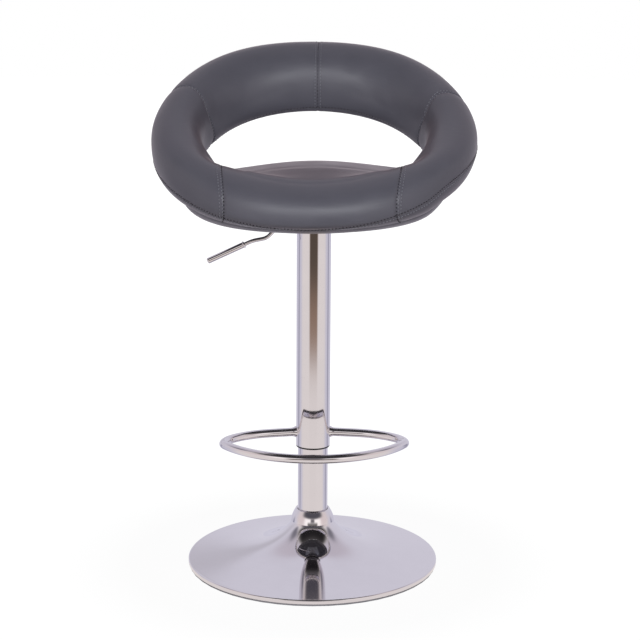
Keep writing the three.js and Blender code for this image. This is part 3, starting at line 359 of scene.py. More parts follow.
apply_all(shroud)
shroud.data.shade_smooth()
shroud.data.set_sharp_from_angle(angle=math.radians(40))
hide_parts("shroud_tube")
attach(shroud, "lift")

BUSH_BORE = 0.0248
BUSH_SLEEVE = 0.0257
BUSH_FLANGE = 0.0272
BUSH_BOTTOM = 0.1977
BUSH_SEAT = 0.2002
BUSH_TOP = 0.2202
BUSH_EDGE = 0.0004

bush = spun("shroud_bush_ring", [
    [BUSH_BORE, BUSH_BOTTOM],
    [BUSH_FLANGE - BUSH_EDGE, BUSH_BOTTOM], [BUSH_FLANGE, BUSH_BOTTOM + BUSH_EDGE],
    [BUSH_FLANGE, BUSH_SEAT], [BUSH_SLEEVE, BUSH_SEAT], [BUSH_SLEEVE, BUSH_TOP], [BUSH_BORE, BUSH_TOP],
], black_nylon, 96)
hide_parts("shroud_bush")
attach(bush, "lift")
dress(["shroud_centring_ring"], black_nylon)


# Footrest: one chromed steel tube, bent to a ring that is open behind, whose two ends are
# welded to the sides of the shroud. The beads are ground smooth and plated over.

def smooth_line(corners, count):
    """A smooth line through the corners, evenly spaced: each stretch is a cubic over the square root
    of its chord, and its slope at a corner is the mean of the straight runs' slopes on both sides."""
    corners = np.asarray(corners, float)
    knot = np.concatenate([[0], np.cumsum(np.sqrt(np.linalg.norm(np.diff(corners, axis=0), axis=1)))])
    padded = np.vstack([2 * corners[0] - corners[1], corners, 2 * corners[-1] - corners[-2]])
    spaced = np.concatenate([[2 * knot[0] - knot[1]], knot, [2 * knot[-1] - knot[-2]]])
    run = np.diff(padded, axis=0) / np.diff(spaced)[:, None]
    slope = (run[:-1] + run[1:]) / 2
    at = np.linspace(0, knot[-1], 4000)
    k = np.clip(np.searchsorted(knot, at) - 1, 0, len(knot) - 2)
    length = (knot[k + 1] - knot[k])[:, None]
    t = (at[:, None] - knot[k][:, None]) / length
    line = (
        (2 * t**3 - 3 * t**2 + 1) * corners[k] + (t**3 - 2 * t**2 + t) * length * slope[k]
        + (3 * t**2 - 2 * t**3) * corners[k + 1] + (t**3 - t**2) * length * slope[k + 1]
    )
    return evenly(line, count)


def evenly(line, count):
    """The same line with that many points, equal lengths apart."""
    along = np.concatenate([[0], np.cumsum(np.linalg.norm(np.diff(line, axis=0), axis=1))])
    at = np.linspace(0, along[-1], count)
    return np.stack([np.interp(at, along, line[:, axis]) for axis in range(3)], -1)


def bar(name, line, radius, upright, material, sides):
    """A round bar along a line: line + radius (cos a across + sin a over), where across is
    upright x direction and over is direction x across. A radius of 0 closes an end."""
    direction = np.gradient(line, axis=0)
    direction /= np.linalg.norm(direction, axis=1)[:, None]
    across = np.cross(upright, direction)
    across /= np.linalg.norm(across, axis=1)[:, None]
    over = np.cross(direction, across)
    angle = np.linspace(0, 2 * np.pi, sides, endpoint=False)[None, :, None]
    size = np.broadcast_to(np.asarray(radius, float), (len(line),))[:, None, None]
    grid = line[:, None] + size * (np.cos(angle) * across[:, None] + np.sin(angle) * over[:, None])
    return skin(name, grid, material, False, True)


FOOT_HEIGHT = 0.2215
FOOT_FRONT = 0.155
FOOT_ARC = 0.167
FOOT_HALF_WIDTH = 0.1445
FOOT_TUBE = 0.007
FOOT_TURN = math.radians(2)
BEAD_RISE = 0.0028
BEAD_REACH = 0.0042

start = SHROUD_RADIUS - 0.001
reach = FOOT_HALF_WIDTH - start
rear = [[start, 0], [start + 0.57 * reach, -0.1 * FOOT_FRONT], [start + 0.9 * reach, -0.27 * FOOT_FRONT]]
turned_end = [[FOOT_HALF_WIDTH, -0.43 * FOOT_FRONT]]
front = [
    [part * FOOT_HALF_WIDTH, FOOT_ARC - math.sqrt(FOOT_ARC**2 - (part * FOOT_HALF_WIDTH) ** 2) - FOOT_FRONT]
    for part in (0.95, 0.8, 0.62, 0.42, 0.21)
]
half = np.array(rear + turned_end + front)
plan = np.vstack([half, [[0, -FOOT_FRONT]], half[::-1] * [-1, 1]])
plan = np.stack([
    plan[:, 0] * math.cos(FOOT_TURN) - plan[:, 1] * math.sin(FOOT_TURN),
    plan[:, 0] * math.sin(FOOT_TURN) + plan[:, 1] * math.cos(FOOT_TURN),
], -1)
foot_line = smooth_line(np.column_stack([plan, np.full(len(plan), FOOT_HEIGHT)]), 260)
along = np.concatenate([[0], np.cumsum(np.linalg.norm(np.diff(foot_line, axis=0), axis=1))])
nearer = np.minimum(along, along[-1] - along)
bead = FOOT_TUBE + BEAD_RISE * np.exp(-((nearer / BEAD_REACH) ** 2))
footrest = bar("footrest", foot_line, bead, (0, 0, 1), chrome, 48)
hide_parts("footrest_ring")
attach(footrest, "lift")


# Seat fixing: a pressed steel plate with a turned-down rim, the taper socket welded under it,
# four button-headed bolts into tee nuts, and the bracket that carries the lever on its pin.

grey_zinc = finish("zinc_plating", (120, 122, 126), 0.42, 0.8, patch=0.02, tone=0.1, grain=0.001)
dress(["mounting_plate", "taper_socket", "lever_bracket"], grey_zinc)
dress([f"plate_bolt_{k}" for k in (1, 2, 3, 4)] + [f"tee_nut_{k}" for k in (1, 2, 3, 4)], bright_steel)
dress(["lever_pivot_pin"], bright_steel)


# Lever: a bent chromed rod through the slot, with a chromed sleeve grip pushed on to its
# outer end and a thin ring where the grip starts.

LEVER_AXIS = 0.5593
ROD_RADIUS = 0.0032
GRIP_RADIUS = 0.0048
GRIP_ROUND = 0.0022
GRIP_MOUTH = 0.0034
END_FACE = 0.0001


def lever_at(reach, drop):
    """A point of the lever: reach to the left of the column, drop below the pivot."""
    return np.array([-reach, 0, LEVER_AXIS - drop])


def bent_rod(corners, setback, steps=9):
    """Straight runs with a bend at each inner corner c: (1 - t)^2 a + 2 t (1 - t) c + t^2 b,
    where a and b lie one setback before and after it."""
    line = [corners[0][None]]
    for before, corner, after in zip(corners, corners[1:], corners[2:]):
        a = corner + setback * (before - corner) / np.linalg.norm(before - corner)
        b = corner + setback * (after - corner) / np.linalg.norm(after - corner)
        t = np.linspace(0, 1, steps)[:, None]
        line.append((1 - t) ** 2 * a + 2 * t * (1 - t) * corner + t**2 * b)
    line.append(corners[-1][None])
    return np.vstack(line)


grip_start = lever_at(0.113, 0.0295)
grip_end = lever_at(0.170, 0.056)
grip_way = (grip_end - grip_start) / np.linalg.norm(grip_end - grip_start)
rod_line = bent_rod([
    lever_at(-0.002, 0), lever_at(0.058, 0), lever_at(0.075, 0.018),
    grip_start - grip_way * 0.0166, grip_end - grip_way * 0.0023,
], 0.007)
rod_line = np.vstack([
    rod_line[:1], rod_line[:1] + [[-END_FACE, 0, 0]], rod_line[1:], rod_line[-1:] + grip_way * END_FACE,
])
rod_size = np.full(len(rod_line), ROD_RADIUS)
rod_size[[0, -1]] = 0
lever = bar("lever", rod_line, rod_size, (0, 1, 0), chrome, 32)
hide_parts("lever_rod")
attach(lever, "lever")

grip_length = np.linalg.norm(grip_end - grip_start)
tip = np.linspace(0, np.pi / 2, 8)
grip_at = np.concatenate([
    [0, END_FACE / 2, 0.0006], grip_length - GRIP_ROUND * (1 - np.sin(tip)), [grip_length + END_FACE / 2],
])
grip_size = np.concatenate([
    [GRIP_MOUTH, 0.0043, GRIP_RADIUS], GRIP_RADIUS - GRIP_ROUND * (1 - np.cos(tip)), [0],
])
grip = bar("lever_sleeve", grip_start + grip_at[:, None] * grip_way, grip_size, (0, 1, 0), chrome, 36)
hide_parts("lever_grip")
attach(grip, "lever")

RING_WIDTH = 0.0026
RING_GAP = 0.0003

ring_at = np.array([0, 0.00005, 0.0004, 0.0013, 0.0022, 0.00255, RING_WIDTH]) - RING_WIDTH - RING_GAP
ring_size = np.array([GRIP_MOUTH, 0.0050, 0.0054, 0.0056, 0.0054, 0.0050, GRIP_MOUTH])
ring_line = grip_start + ring_at[:, None] * grip_way
sleeve_ring = bar("sleeve_ring", ring_line, ring_size, (0, 1, 0), chrome, 32)
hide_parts("lever_grip_ring")
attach(sleeve_ring, "lever")


# Seat board and hoop: a round of beech plywood with the bent steel hoop of the arms and back
# strapped to it by two saddles. All of it is inside the upholstery.

plywood = finish("beech_plywood", (196, 162, 117), 0.6, patch=0.012, tone=0.12, grain=0.0009, relief=0.00008)
dress(["seat_board"], plywood)
dress(["hoop_frame", "hoop_saddle_right", "hoop_saddle_left"], black_enamel)


# Underside cover: a dished pan under the foam, covered with the same leather cloth, which
# tucks up inside the lower edge of the roll.

SEAT_FORWARD = 0.009
BOARD_BOTTOM = 0.5768
PAN_FLAT = 0.134


def around(stations, turn):
    """A smooth value round the hoop through seven equally spaced stations from the front to the
    back: the sum over k of w(k) (2 / 6) [sum over j of w(j) s(j) cos(pi j k / 6)] cos(k turn),
    where w is 1/2 at both ends and 1 between."""
    values = np.array(stations, float) / 1000
    order = np.arange(7)
    weight = np.where((order == 0) | (order == 6), 0.5, 1.0)
    parts = weight * (2 / 6) * (np.cos(np.pi * np.outer(order, order) / 6) @ (weight * values))
    return np.cos(np.multiply.outer(np.asarray(turn, float), order)) @ parts


def on_hoop(turn, radius, height):
    """(radius sin turn, -radius cos turn - 9 mm, height), with turn 0 in front."""
    return np.stack([radius * np.sin(turn), -radius * np.cos(turn) - SEAT_FORWARD, height + 0 * turn], -1)


PAD_TOP_RADIUS = (150, 162, 180, 195, 172, 150, 146)
PAD_TOP_HEIGHT = (652, 656, 668, 678, 648, 636, 634)
PAD_SIDE_RADIUS = (190, 197, 204, 207, 192, 172, 167)
PAD_SIDE_HEIGHT = (592, 596, 608, 624, 626, 618, 616)


def pad_under(turn, grow, t):
    """Underside of the pad, grown by the given amount: a quarter of an ellipse from the side
    point (t = 0) to the flat bottom (t = 90 degrees)."""
    side = around(PAD_SIDE_RADIUS, turn) + grow
    height = around(PAD_SIDE_HEIGHT, turn)
    return PAN_FLAT + (side - PAN_FLAT) * np.cos(t), height - (height - BOARD_BOTTOM + grow) * np.sin(t)


def past(value, edge, soft):
    """0 well below the edge and 1 well above it: 1 / (1 + exp((edge - value) / soft))."""
    return 1 / (1 + np.exp(np.clip((edge - value) / soft, -40, 40)))


def sag(points):
    """The cover sits lower on the left: below about 680 mm, each point rises by 1.2 mm for every
    100 mm to the right, and by 5 mm more beyond 185 mm. The arms dip by 8 mm at the front ends of
    the opening, 60 degrees round the hoop and 178 mm out."""
    x, y, z = points[..., 0], points[..., 1] + SEAT_FORWARD, points[..., 2]
    rise = 0.012 * np.clip(x, -0.2, 0.2) + 0.005 * past(x, 0.185, 0.006)
    turn = np.degrees(np.arctan2(abs(x), -y))
    dip = 0.008 * np.exp(-(((turn - 60) / 11) ** 2) - ((np.hypot(x, y) - 0.178) / 0.018) ** 2)
    lift = rise * past(-z, -0.68, 0.012) - dip * past(z, 0.66, 0.004)
    return points + np.stack([0 * x, 0 * x, lift], -1)


turn = np.linspace(0, 2 * np.pi, 200, endpoint=False)[:, None]
t = np.linspace(0, np.pi / 2, 16)[None]
outer_reach, outer_height = pad_under(turn, 0.0025, t)
inner_reach, inner_height = pad_under(turn, 0.0003, t)
hub = np.linspace(1, 0, 9)[None, 1:]
reach = np.hstack([
    outer_reach[:, -1:] * hub[:, ::-1], outer_reach[:, ::-1], inner_reach, inner_reach[:, -1:] * hub,
])
height = np.hstack([
    np.repeat(outer_height[:, -1:], 8, 1), outer_height[:, ::-1], inner_height,
    np.repeat(inner_height[:, -1:], 8, 1),
])
leather = finish(
    "leather_cloth", (84, 83, 91), 0.36, patch=0.05, tone=0.035, grain=0.0011, relief=0.00006,
    shine=0.3, fuzz=0.1, fuzz_colour=(255, 205, 205),
)
pan = skin("underside", sag(on_hoop(turn + 0 * reach, reach, height)), leather, True, False)
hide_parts("underside_cover")
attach(pan, "lift")


# Upholstery: foam over the board and hoop under one cover of grey leather cloth, sewn from a
# seat panel, two arm panels and two back panels. The sewn cover sits slightly askew.

ROLL_INNER_RADIUS = (100, 129, 161, 177, 178, 163, 152)
ROLL_INNER_HEIGHT = (614, 625, 647, 676, 714, 754, 772)
ROLL_CREST_RADIUS = (150, 172, 204, 216, 217, 213, 206)
ROLL_CREST_HEIGHT = (654, 662, 690, 739, 796, 833, 842)
ROLL_OUTER_RADIUS = (207, 222, 241, 256, 257, 246, 233)
ROLL_OUTER_HEIGHT = (598, 610, 653, 698, 750, 787, 798)
ROLL_UNDER_RADIUS = (165, 178, 195, 203, 200, 184, 169)
ROLL_UNDER_HEIGHT = (584, 587, 604, 634, 681, 718, 729)
FULLNESS = 2 / 2.25
SEWN_TURN = math.radians(1.9)


def roll_quarter(turn, side, pole, t):
    """A quarter of the roll's outline, between a side point (t = 0) and a pole (t = 90 degrees):
    [pole + (side - pole) cos(t)^p, side + (pole - side) sin(t)^p] with p = 2 / 2.25."""
    side_reach, side_height = around(side[0], turn), around(side[1], turn)
    pole_reach, pole_height = around(pole[0], turn), around(pole[1], turn)
    return (
        pole_reach + (side_reach - pole_reach) * np.cos(t) ** FULLNESS,
        side_height + (pole_height - side_height) * np.sin(t) ** FULLNESS,
    )


INNER = (ROLL_INNER_RADIUS, ROLL_INNER_HEIGHT)
CREST = (ROLL_CREST_RADIUS, ROLL_CREST_HEIGHT)
OUTER = (ROLL_OUTER_RADIUS, ROLL_OUTER_HEIGHT)
UNDER = (ROLL_UNDER_RADIUS, ROLL_UNDER_HEIGHT)

t = np.linspace(0, np.pi / 2, 15, endpoint=False)[None]
turn = np.linspace(0, 2 * np.pi, 360, endpoint=False)[:, None]
quarters = [
    roll_quarter(turn, INNER, CREST, t),
    roll_quarter(turn, OUTER, CREST, np.pi / 2 - t),
    roll_quarter(turn, OUTER, UNDER, t),
    roll_quarter(turn, INNER, UNDER, np.pi / 2 - t),
]
reach = np.hstack([part[0] for part in quarters])
height = np.hstack([part[1] for part in quarters])
roll_form = skin("roll_form", on_hoop(turn + 0 * reach, reach, height), leather, True, True)

# the pad's top is a crown, height = 663 - (y + 20)^2 / 1730 - 18 (x / 134)^2 in millimetres,
# drawn to its edge height by the ninth power of the share of the way out
turn = np.linspace(0, 2 * np.pi, 240, endpoint=False)[:, None]
share = np.linspace(0, 1, 40)[None]
reach = share * around(PAD_TOP_RADIUS, turn)
crown = 0.663 - (0.020 - reach * np.cos(turn)) ** 2 / 1.730 - 0.018 * (reach * np.sin(turn) / 0.134) ** 2
height = crown + (around(PAD_TOP_HEIGHT, turn) - crown) * share**9
under_reach, under_height = pad_under(turn, 0, np.linspace(0, np.pi / 2, 14)[None])
reach = np.hstack([reach, under_reach, under_reach[:, -1:] * hub])
height = np.hstack([height, under_height, np.repeat(under_height[:, -1:], 8, 1)])
pad_form = skin("pad_form", on_hoop(turn + 0 * reach, reach, height), leather, True, False)


def melt(forms, voxel, ease):
    """One closed skin round several overlapping forms: joined, remeshed at the voxel size and
    eased that many times. The forms' own surface comes with it, to find nearest points on."""
    joined = bmesh.new()
    for form in forms:
        joined.from_mesh(form.data)
        bpy.data.objects.remove(form)
    forms_surface = BVHTree.FromBMesh(joined)
    mesh = bpy.data.meshes.new("cover")
    joined.to_mesh(mesh)
    joined.free()
    cover = bpy.data.objects.new("cover", mesh)
    scene.collection.objects.link(cover)
    remesh = cover.modifiers.new("voxels", "REMESH")
    remesh.mode = "VOXEL"
    remesh.voxel_size = voxel
    relax = cover.modifiers.new("ease", "SMOOTH")
    relax.factor = 0.5
    relax.iterations = ease
    apply_all(cover)
    return cover, forms_surface


def read(items, name, width, kind=float):
    """One value of each of the mesh's points, edges or faces, as the rows of an array."""
    flat = np.empty(len(items) * width, kind)
    items.foreach_get(name, flat)
    return flat.reshape(-1, width)


def points_of(mesh):
    """The mesh's points."""
    return read(mesh.vertices, "co", 3)


def normals_of(mesh):
    """The mesh's outward directions at its points."""
    return read(mesh.vertex_normals, "vector", 3)


def edges_of(mesh):
    """The two points of each edge of the mesh."""
    return read(mesh.edges, "vertices", 2, int)


def centres_of(mesh):
    """The middles of the mesh's faces."""
    return read(mesh.polygons, "center", 3)


def set_points(mesh, points):
    """Move the mesh's points to these places."""
    mesh.vertices.foreach_set("co", points.ravel())
    mesh.update()


def neighbours_mean(points, edges):
    """For each point, the mean of the points that share an edge with it."""
    total = np.zeros_like(points)
    for axis in range(3):
        total[:, axis] = (
            np.bincount(edges[:, 0], points[edges[:, 1], axis], len(points))
            + np.bincount(edges[:, 1], points[edges[:, 0], axis], len(points))
        )
    count = np.bincount(edges.ravel(), minlength=len(points))
    return total / count[:, None]


def fill_folds(mesh, rounds):
    """Fill the inward folds as foam under a stretched cover does: that many times, each point that
    lies deeper than the mean of its neighbours, along its outward direction, moves to that mean."""
    edges = edges_of(mesh)
    for _ in range(rounds):
        points = points_of(mesh)
        rise = neighbours_mean(points, edges) - points
        deep = (rise * normals_of(mesh)).sum(1) > 0
        set_points(mesh, points + np.where(deep[:, None], 0.8 * rise, 0))


def refit(mesh, surface_under):
    """Move the points that the easing drew inside the forms back out to their surface."""
    points, out = points_of(mesh), normals_of(mesh)
    nearest = np.array([surface_under.find_nearest(Vector(point))[0] for point in points])
    short = ((nearest - points) * out).sum(1)
    set_points(mesh, points + out * np.clip(short, 0, 0.004)[:, None])


def ease_top(mesh, rounds):
    """Smooth the pad's top into the front roll: that many times, each point that faces up inside
    the ellipse (x / 150)^2 + ((y + 15) / 145)^2 = 1, in millimetres, moves towards the mean of its
    neighbours, less so in the outer quarter of the ellipse."""
    edges = edges_of(mesh)
    points = points_of(mesh)
    share = np.hypot(points[:, 0] / 0.150, (points[:, 1] + 0.015) / 0.145)
    weight = np.clip((1 - share) / 0.25, 0, 1) * np.clip((normals_of(mesh)[:, 2] - 0.4) / 0.3, 0, 1)
    for _ in range(rounds):
        points = points + 0.5 * weight[:, None] * (neighbours_mean(points, edges) - points)
    set_points(mesh, points)


cover, forms_surface = melt([roll_form, pad_form], voxel=0.004, ease=6)
refit(cover.data, forms_surface)
fill_folds(cover.data, rounds=30)
ease_top(cover.data, rounds=160)


def sewn(points, angle=SEWN_TURN):
    """The points turned back by the cover's small twist about the hoop's centre, so that its seams
    lie evenly on both sides."""
    x, y = points[..., 0], points[..., 1] + SEAT_FORWARD
    c, s = math.cos(angle), math.sin(angle)
    return np.stack([c * x - s * y, s * x + c * y - SEAT_FORWARD, points[..., 2]], -1)


def unsewn(points):
    """The opposite of sewn."""
    return sewn(points, -SEWN_TURN)


def strip_half(y):
    """Half the seat panel's width: 133 mm + 0.058 (y + 165 mm), less a softened bend that narrows
    it faster in front of there."""
    t = y + 0.165
    return 0.133 + 0.0576 * t - 0.1499 * 0.008 * np.log1p(np.exp(-t / 0.008))


def angle_of(points):
    """Angle round the hoop, 0 in front and 180 degrees behind, positive to the right."""
    return np.arctan2(points[..., 0], -(points[..., 1] + SEAT_FORWARD))


SPLIT_HEIGHT = 0.664
BACK_LOW = 0.69
SEAT_SEAM_BACK = -0.02
ARM_SEAM_TURN = math.radians(108)
ARM_SEAM_LEAN = math.radians(8)


def arm_seam(height):
    """Angle of the arm seams round the hoop: 108 degrees, and up to 8 more below 715 mm, in a soft
    step 12 mm high, so that they lean back towards the opening."""
    return ARM_SEAM_TURN + ARM_SEAM_LEAN * past(-height, -0.715, 0.012)


def seam_distances(points):
    """Distance of each point from each seam of the cover, in rows: the middle of the back, the
    two arm seams, the two seat seams, the lower edge and the inside of the back; far where a
    seam doesn't run."""
    flat = sewn(points)
    x, y, z = flat.T
    turn = angle_of(flat)
    radius = np.hypot(x, y + SEAT_FORWARD)
    far = 1.0
    rows = [np.where((y > 0) & (z > BACK_LOW), abs(x), far)]
    for side in (1, -1):
        near = (z > SPLIT_HEIGHT) & (x * side > 0) & (y > -0.05)
        rows.append(np.where(near, abs(radius * np.sin(turn - side * arm_seam(z))), far))
    for side in (1, -1):
        near = ((y < SEAT_SEAM_BACK) | (z < SPLIT_HEIGHT)) & (z > 0.60)
        rows.append(np.where(near, abs(x - side * strip_half(y)), far))
    seam_radius, seam_height = edge_seam(turn)
    rows.append(np.hypot(radius - seam_radius, z - seam_height))
    seam_radius, seam_height = inner_seam(turn)
    back = (abs(turn) > ARM_SEAM_TURN - 0.15) & (z > SPLIT_HEIGHT)
    rows.append(np.where(back, np.hypot(radius - seam_radius, z - seam_height), far))
    return np.array(rows)


def edge_seam(turn):
    """Where the lower seam runs on the roll's outer quarter: t = 12 + 48 exp(-(turn / 28)^1.3)
    degrees, close under the roll in front and near its widest line at the sides and back. On the
    left it runs up to 10 degrees lower, from about 31 degrees on."""
    turn = np.degrees(np.angle(np.exp(1j * turn)))
    lower = 10 * past(-turn, 31, 4) * past(turn, -110, 12)
    t = np.radians(12 + 48 * np.exp(-((abs(turn) / 28) ** 1.3)) + lower)
    turn = np.radians(turn)
    return roll_quarter(turn, OUTER, UNDER, t)


def inner_seam(turn):
    """Where the lower seam runs on the inside of the back, at t = 60 degrees of the inner quarter."""
    return roll_quarter(turn, INNER, UNDER, np.radians(60) + 0 * turn)


def blow_up(piece, shrink, cap, pressure, frames=20):
    """Pad the cover: it starts smaller by the given amount, less so at its seams, which are pinned.
    Air pressure blows it up as cloth without gravity. Its movement is evened out over the near
    points, as foam under a taut cover has no wrinkles, no point moves by more than the cap, and
    none ends further in than it was before."""
    mesh = piece.data
    points, out = points_of(mesh), normals_of(mesh)
    near = np.exp(-((seam_distances(points).min(0) / 0.011) ** 2))
    start = points - out * (shrink * (1 - 0.62 * near))[:, None]
    set_points(mesh, start)
    pins = piece.vertex_groups.new(name="seams")
    for index in np.nonzero(near > 0.85)[0].tolist():
        pins.add([index], 1.0, "REPLACE")
    cloth = piece.modifiers.new("cloth", "CLOTH")
    cloth.settings.use_pressure = True
    cloth.settings.uniform_pressure_force = pressure
    cloth.settings.effector_weights.gravity = 0
    cloth.settings.vertex_group_mass = "seams"
    cloth.point_cache.frame_start = 1
    cloth.point_cache.frame_end = frames
    for frame_number in range(1, frames + 1):
        scene.frame_set(frame_number)
    apply_all(piece)
    piece.vertex_groups.clear()
    scene.frame_set(1)
    move = points_of(piece.data) - start
    length = np.linalg.norm(move, axis=1)
    move *= np.minimum(1, cap / np.maximum(length, 1e-9))[:, None]
    edges = edges_of(piece.data)
    for _ in range(12):
        move = 0.5 * (move + neighbours_mean(move, edges))
    rise = ((start + move - points) * out).sum(1)
    set_points(piece.data, points + out * np.maximum(rise, 0)[:, None])


blow_up(cover, shrink=0.0006, cap=0.004, pressure=8)
divide = cover.modifiers.new("divide", "SUBSURF")
divide.levels = 1
divide.render_levels = 1
apply_all(cover)


def cut_along(mesh, fold, unfold, normal, keep, offsets=(-0.0026, -0.0012, 0, 0.0012, 0.0026)):
    """Cut new edges where the folded mesh meets the planes at these distances from the origin, only
    through faces that keep allows, and unfold it."""
    set_points(mesh, fold(points_of(mesh)))
    chosen = np.nonzero(keep(centres_of(mesh)))[0].tolist()
    with editing(mesh) as work:
        work.faces.ensure_lookup_table()
        faces = [work.faces[index] for index in chosen]
        edges = list({edge for face in faces for edge in face.edges})
        verts = list({vert for face in faces for vert in face.verts})
        parts = faces + edges + verts
        for offset in offsets:
            cut = bmesh.ops.bisect_plane(
                work, geom=parts, dist=1e-5, plane_co=tuple(np.array(normal) * offset), plane_no=normal,
            )
            parts = cut["geom"]
    set_points(mesh, unfold(points_of(mesh)))


def on_back(points):
    """True on the back panels: behind the arm seams and above the gap over the seat."""
    return (abs(angle_of(points)) > arm_seam(points[..., 2])) & (points[..., 2] > SPLIT_HEIGHT)


def straighten(side):
    """Fold that brings the seat seam of this side to x = 0, in the sewn cover."""
    def fold(points):
        points = sewn(points)
        points[:, 0] -= side * strip_half(points[:, 1])
        return points
    return fold


def bend_back(side):
    """The opposite of straighten."""
    def fold(points):
        points = points.copy()
        points[:, 0] += side * strip_half(points[:, 1])
        return unsewn(points)
    return fold


def spoke(side):
    """Fold that turns the arm seam of this side about the hoop's centre to the plane x = 0, with
    the seam at positive y."""
    def fold(points):
        x, y, z = sewn(points).T
        y = y + SEAT_FORWARD
        c, s = np.cos(np.pi - arm_seam(z)), side * np.sin(np.pi - arm_seam(z))
        return np.stack([c * x - s * y, s * x + c * y, z], -1)

    def unfold(points):
        x, y, z = points.T
        c, s = np.cos(np.pi - arm_seam(z)), side * np.sin(np.pi - arm_seam(z))
        return unsewn(np.stack([c * x + s * y, c * y - s * x - SEAT_FORWARD, z], -1))
    return fold, unfold


def level_out(seam, sign):
    """Fold that lifts or lowers each point by the height of a seam at its angle round the hoop."""
    def fold(points):
        points = sewn(points) if sign < 0 else points.copy()
        points[:, 2] += sign * seam(angle_of(points))[1]
        return points if sign < 0 else unsewn(points)
    return fold


def near_lower_edge(spots):
    """Faces on the outside of the roll, close to its lower seam."""
    turn = angle_of(spots)
    reach = np.hypot(spots[:, 0], spots[:, 1] + SEAT_FORWARD)
    return (reach > edge_seam(turn)[0] - 0.010) & (abs(spots[:, 2]) < 0.012)


def near_inner_edge(spots):
    """Faces on the inside of the back, close to the seam over the opening."""
    turn = angle_of(spots)
    reach = np.hypot(spots[:, 0], spots[:, 1] + SEAT_FORWARD)
    close = abs(reach - inner_seam(turn)[0]) < 0.012
    return (abs(turn) > ARM_SEAM_TURN) & close & (abs(spots[:, 2]) < 0.012)


def near_plane(spots):
    """Faces within 30 mm of the folded seam."""
    return abs(spots[:, 0]) < 0.03


for side in (1, -1):
    cut_along(
        cover.data, straighten(side), bend_back(side), (1, 0, 0),
        lambda spots: ((spots[:, 1] < SEAT_SEAM_BACK) | (spots[:, 2] < SPLIT_HEIGHT)) & near_plane(spots),
    )
    fold, unfold = spoke(side)
    cut_along(
        cover.data, fold, unfold, (1, 0, 0),
        lambda spots: (spots[:, 2] > SPLIT_HEIGHT) & (spots[:, 1] > 0.05) & near_plane(spots),
    )
cut_along(
    cover.data, sewn, unsewn, (1, 0, 0),
    lambda spots: (spots[:, 1] > 0) & (spots[:, 2] > BACK_LOW) & near_plane(spots),
)
for seam, near_seam in ((edge_seam, near_lower_edge), (inner_seam, near_inner_edge)):
    cut_along(
        cover.data, level_out(seam, -1), level_out(seam, 1), (0, 0, 1), near_seam, (-0.0014, 0, 0.0014),
    )


def valley(distance, depth, width):
    """How far a seam draws the cover in at a distance from it: depth exp(-(distance / width)^2)."""
    return depth * np.exp(-((distance / width) ** 2))


def draw_seams(mesh):
    """Move every point inward along its normal by the sum of the valleys of all seams."""
    points = points_of(mesh)
    middle, arm_right, arm_left, seat_right, seat_left, lower, inside = seam_distances(points)
    depth = valley(middle, 0.0007, 0.0015)
    for arm in (arm_right, arm_left):
        depth += valley(arm, 0.0013, 0.0019) + valley(arm, 0.0008, 0.009)
    for seat in (seat_right, seat_left):
        depth += valley(seat, 0.0011, 0.0018)
    for edge in (lower, inside):
        depth += valley(edge, 0.0010, 0.0018)
    set_points(mesh, points - normals_of(mesh) * depth[:, None])


draw_seams(cover.data)
set_points(cover.data, sag(points_of(cover.data)))
cover.data.shade_smooth()
surface = BVHTree.FromObject(cover, bpy.context.evaluated_depsgraph_get())


def panel(name, nodes, keep):
    """The part of the cover that keep allows, as a closed cushion: its open edges, which lie in
    the seams, are filled."""
    mesh = cover.data.copy()
    mesh.name = name
    spots = sewn(centres_of(mesh))
    with editing(mesh) as work:
        drop = [face for face, yes in zip(work.faces, keep(spots)) if not yes]
        bmesh.ops.delete(work, geom=drop, context="FACES")
        bmesh.ops.holes_fill(work, edges=[edge for edge in work.edges if edge.is_boundary], sides=0)
        bmesh.ops.recalc_face_normals(work, faces=work.faces)
    mesh.shade_smooth()
    mesh.set_sharp_from_angle(angle=math.radians(60))
    mesh.materials.clear()
    piece = new_piece(name, mesh, leather)
    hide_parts(*nodes)
    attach(piece, "lift")
    return piece


def in_strip(spots):
    """True on the seat panel: between the seat seams and not on the back."""
    return (abs(spots[:, 0]) < strip_half(spots[:, 1])) & ~on_back(spots)


panel("seat_panel", ["seat_cushion"], in_strip)
for word, side in (("right", 1), ("left", -1)):
    panel(
        f"arm_panel_{word}", [f"arm_pad_{word}"],
        lambda spots: ~in_strip(spots) & ~on_back(spots) & (spots[:, 0] * side > 0),
    )
    panel(
        f"back_panel_{word}", [f"back_pad_{word}"],
        lambda spots: on_back(spots) & (spots[:, 0] * side > 0),
    )
bpy.data.objects.remove(cover)


# Stitching: rows of light grey thread along both sides of the seams. The darker stitches in the seams of the
# seat and the back and in the lower and inner edges are painted shade for the shaded seam grooves and needle
# holes.

light_thread = finish("light_thread", (158, 158, 166), 0.65, patch=0.01, grain=0.0004, relief=0.00003)
# painted shade: a near-black thread that stands for the shaded seam grooves and their needle holes
seam_shade_thread = finish("seam_shade_thread", (36, 35, 40), 0.7, patch=0.01, grain=0.0004, relief=0.00003)


def onto_cover(points):
    """The nearest points of the cover, with its outward directions there."""
    found = [surface.find_nearest(Vector(point)) for point in points]
    return np.array([hit[0] for hit in found]), np.array([hit[1] for hit in found])


STITCH_PITCH = 0.0052


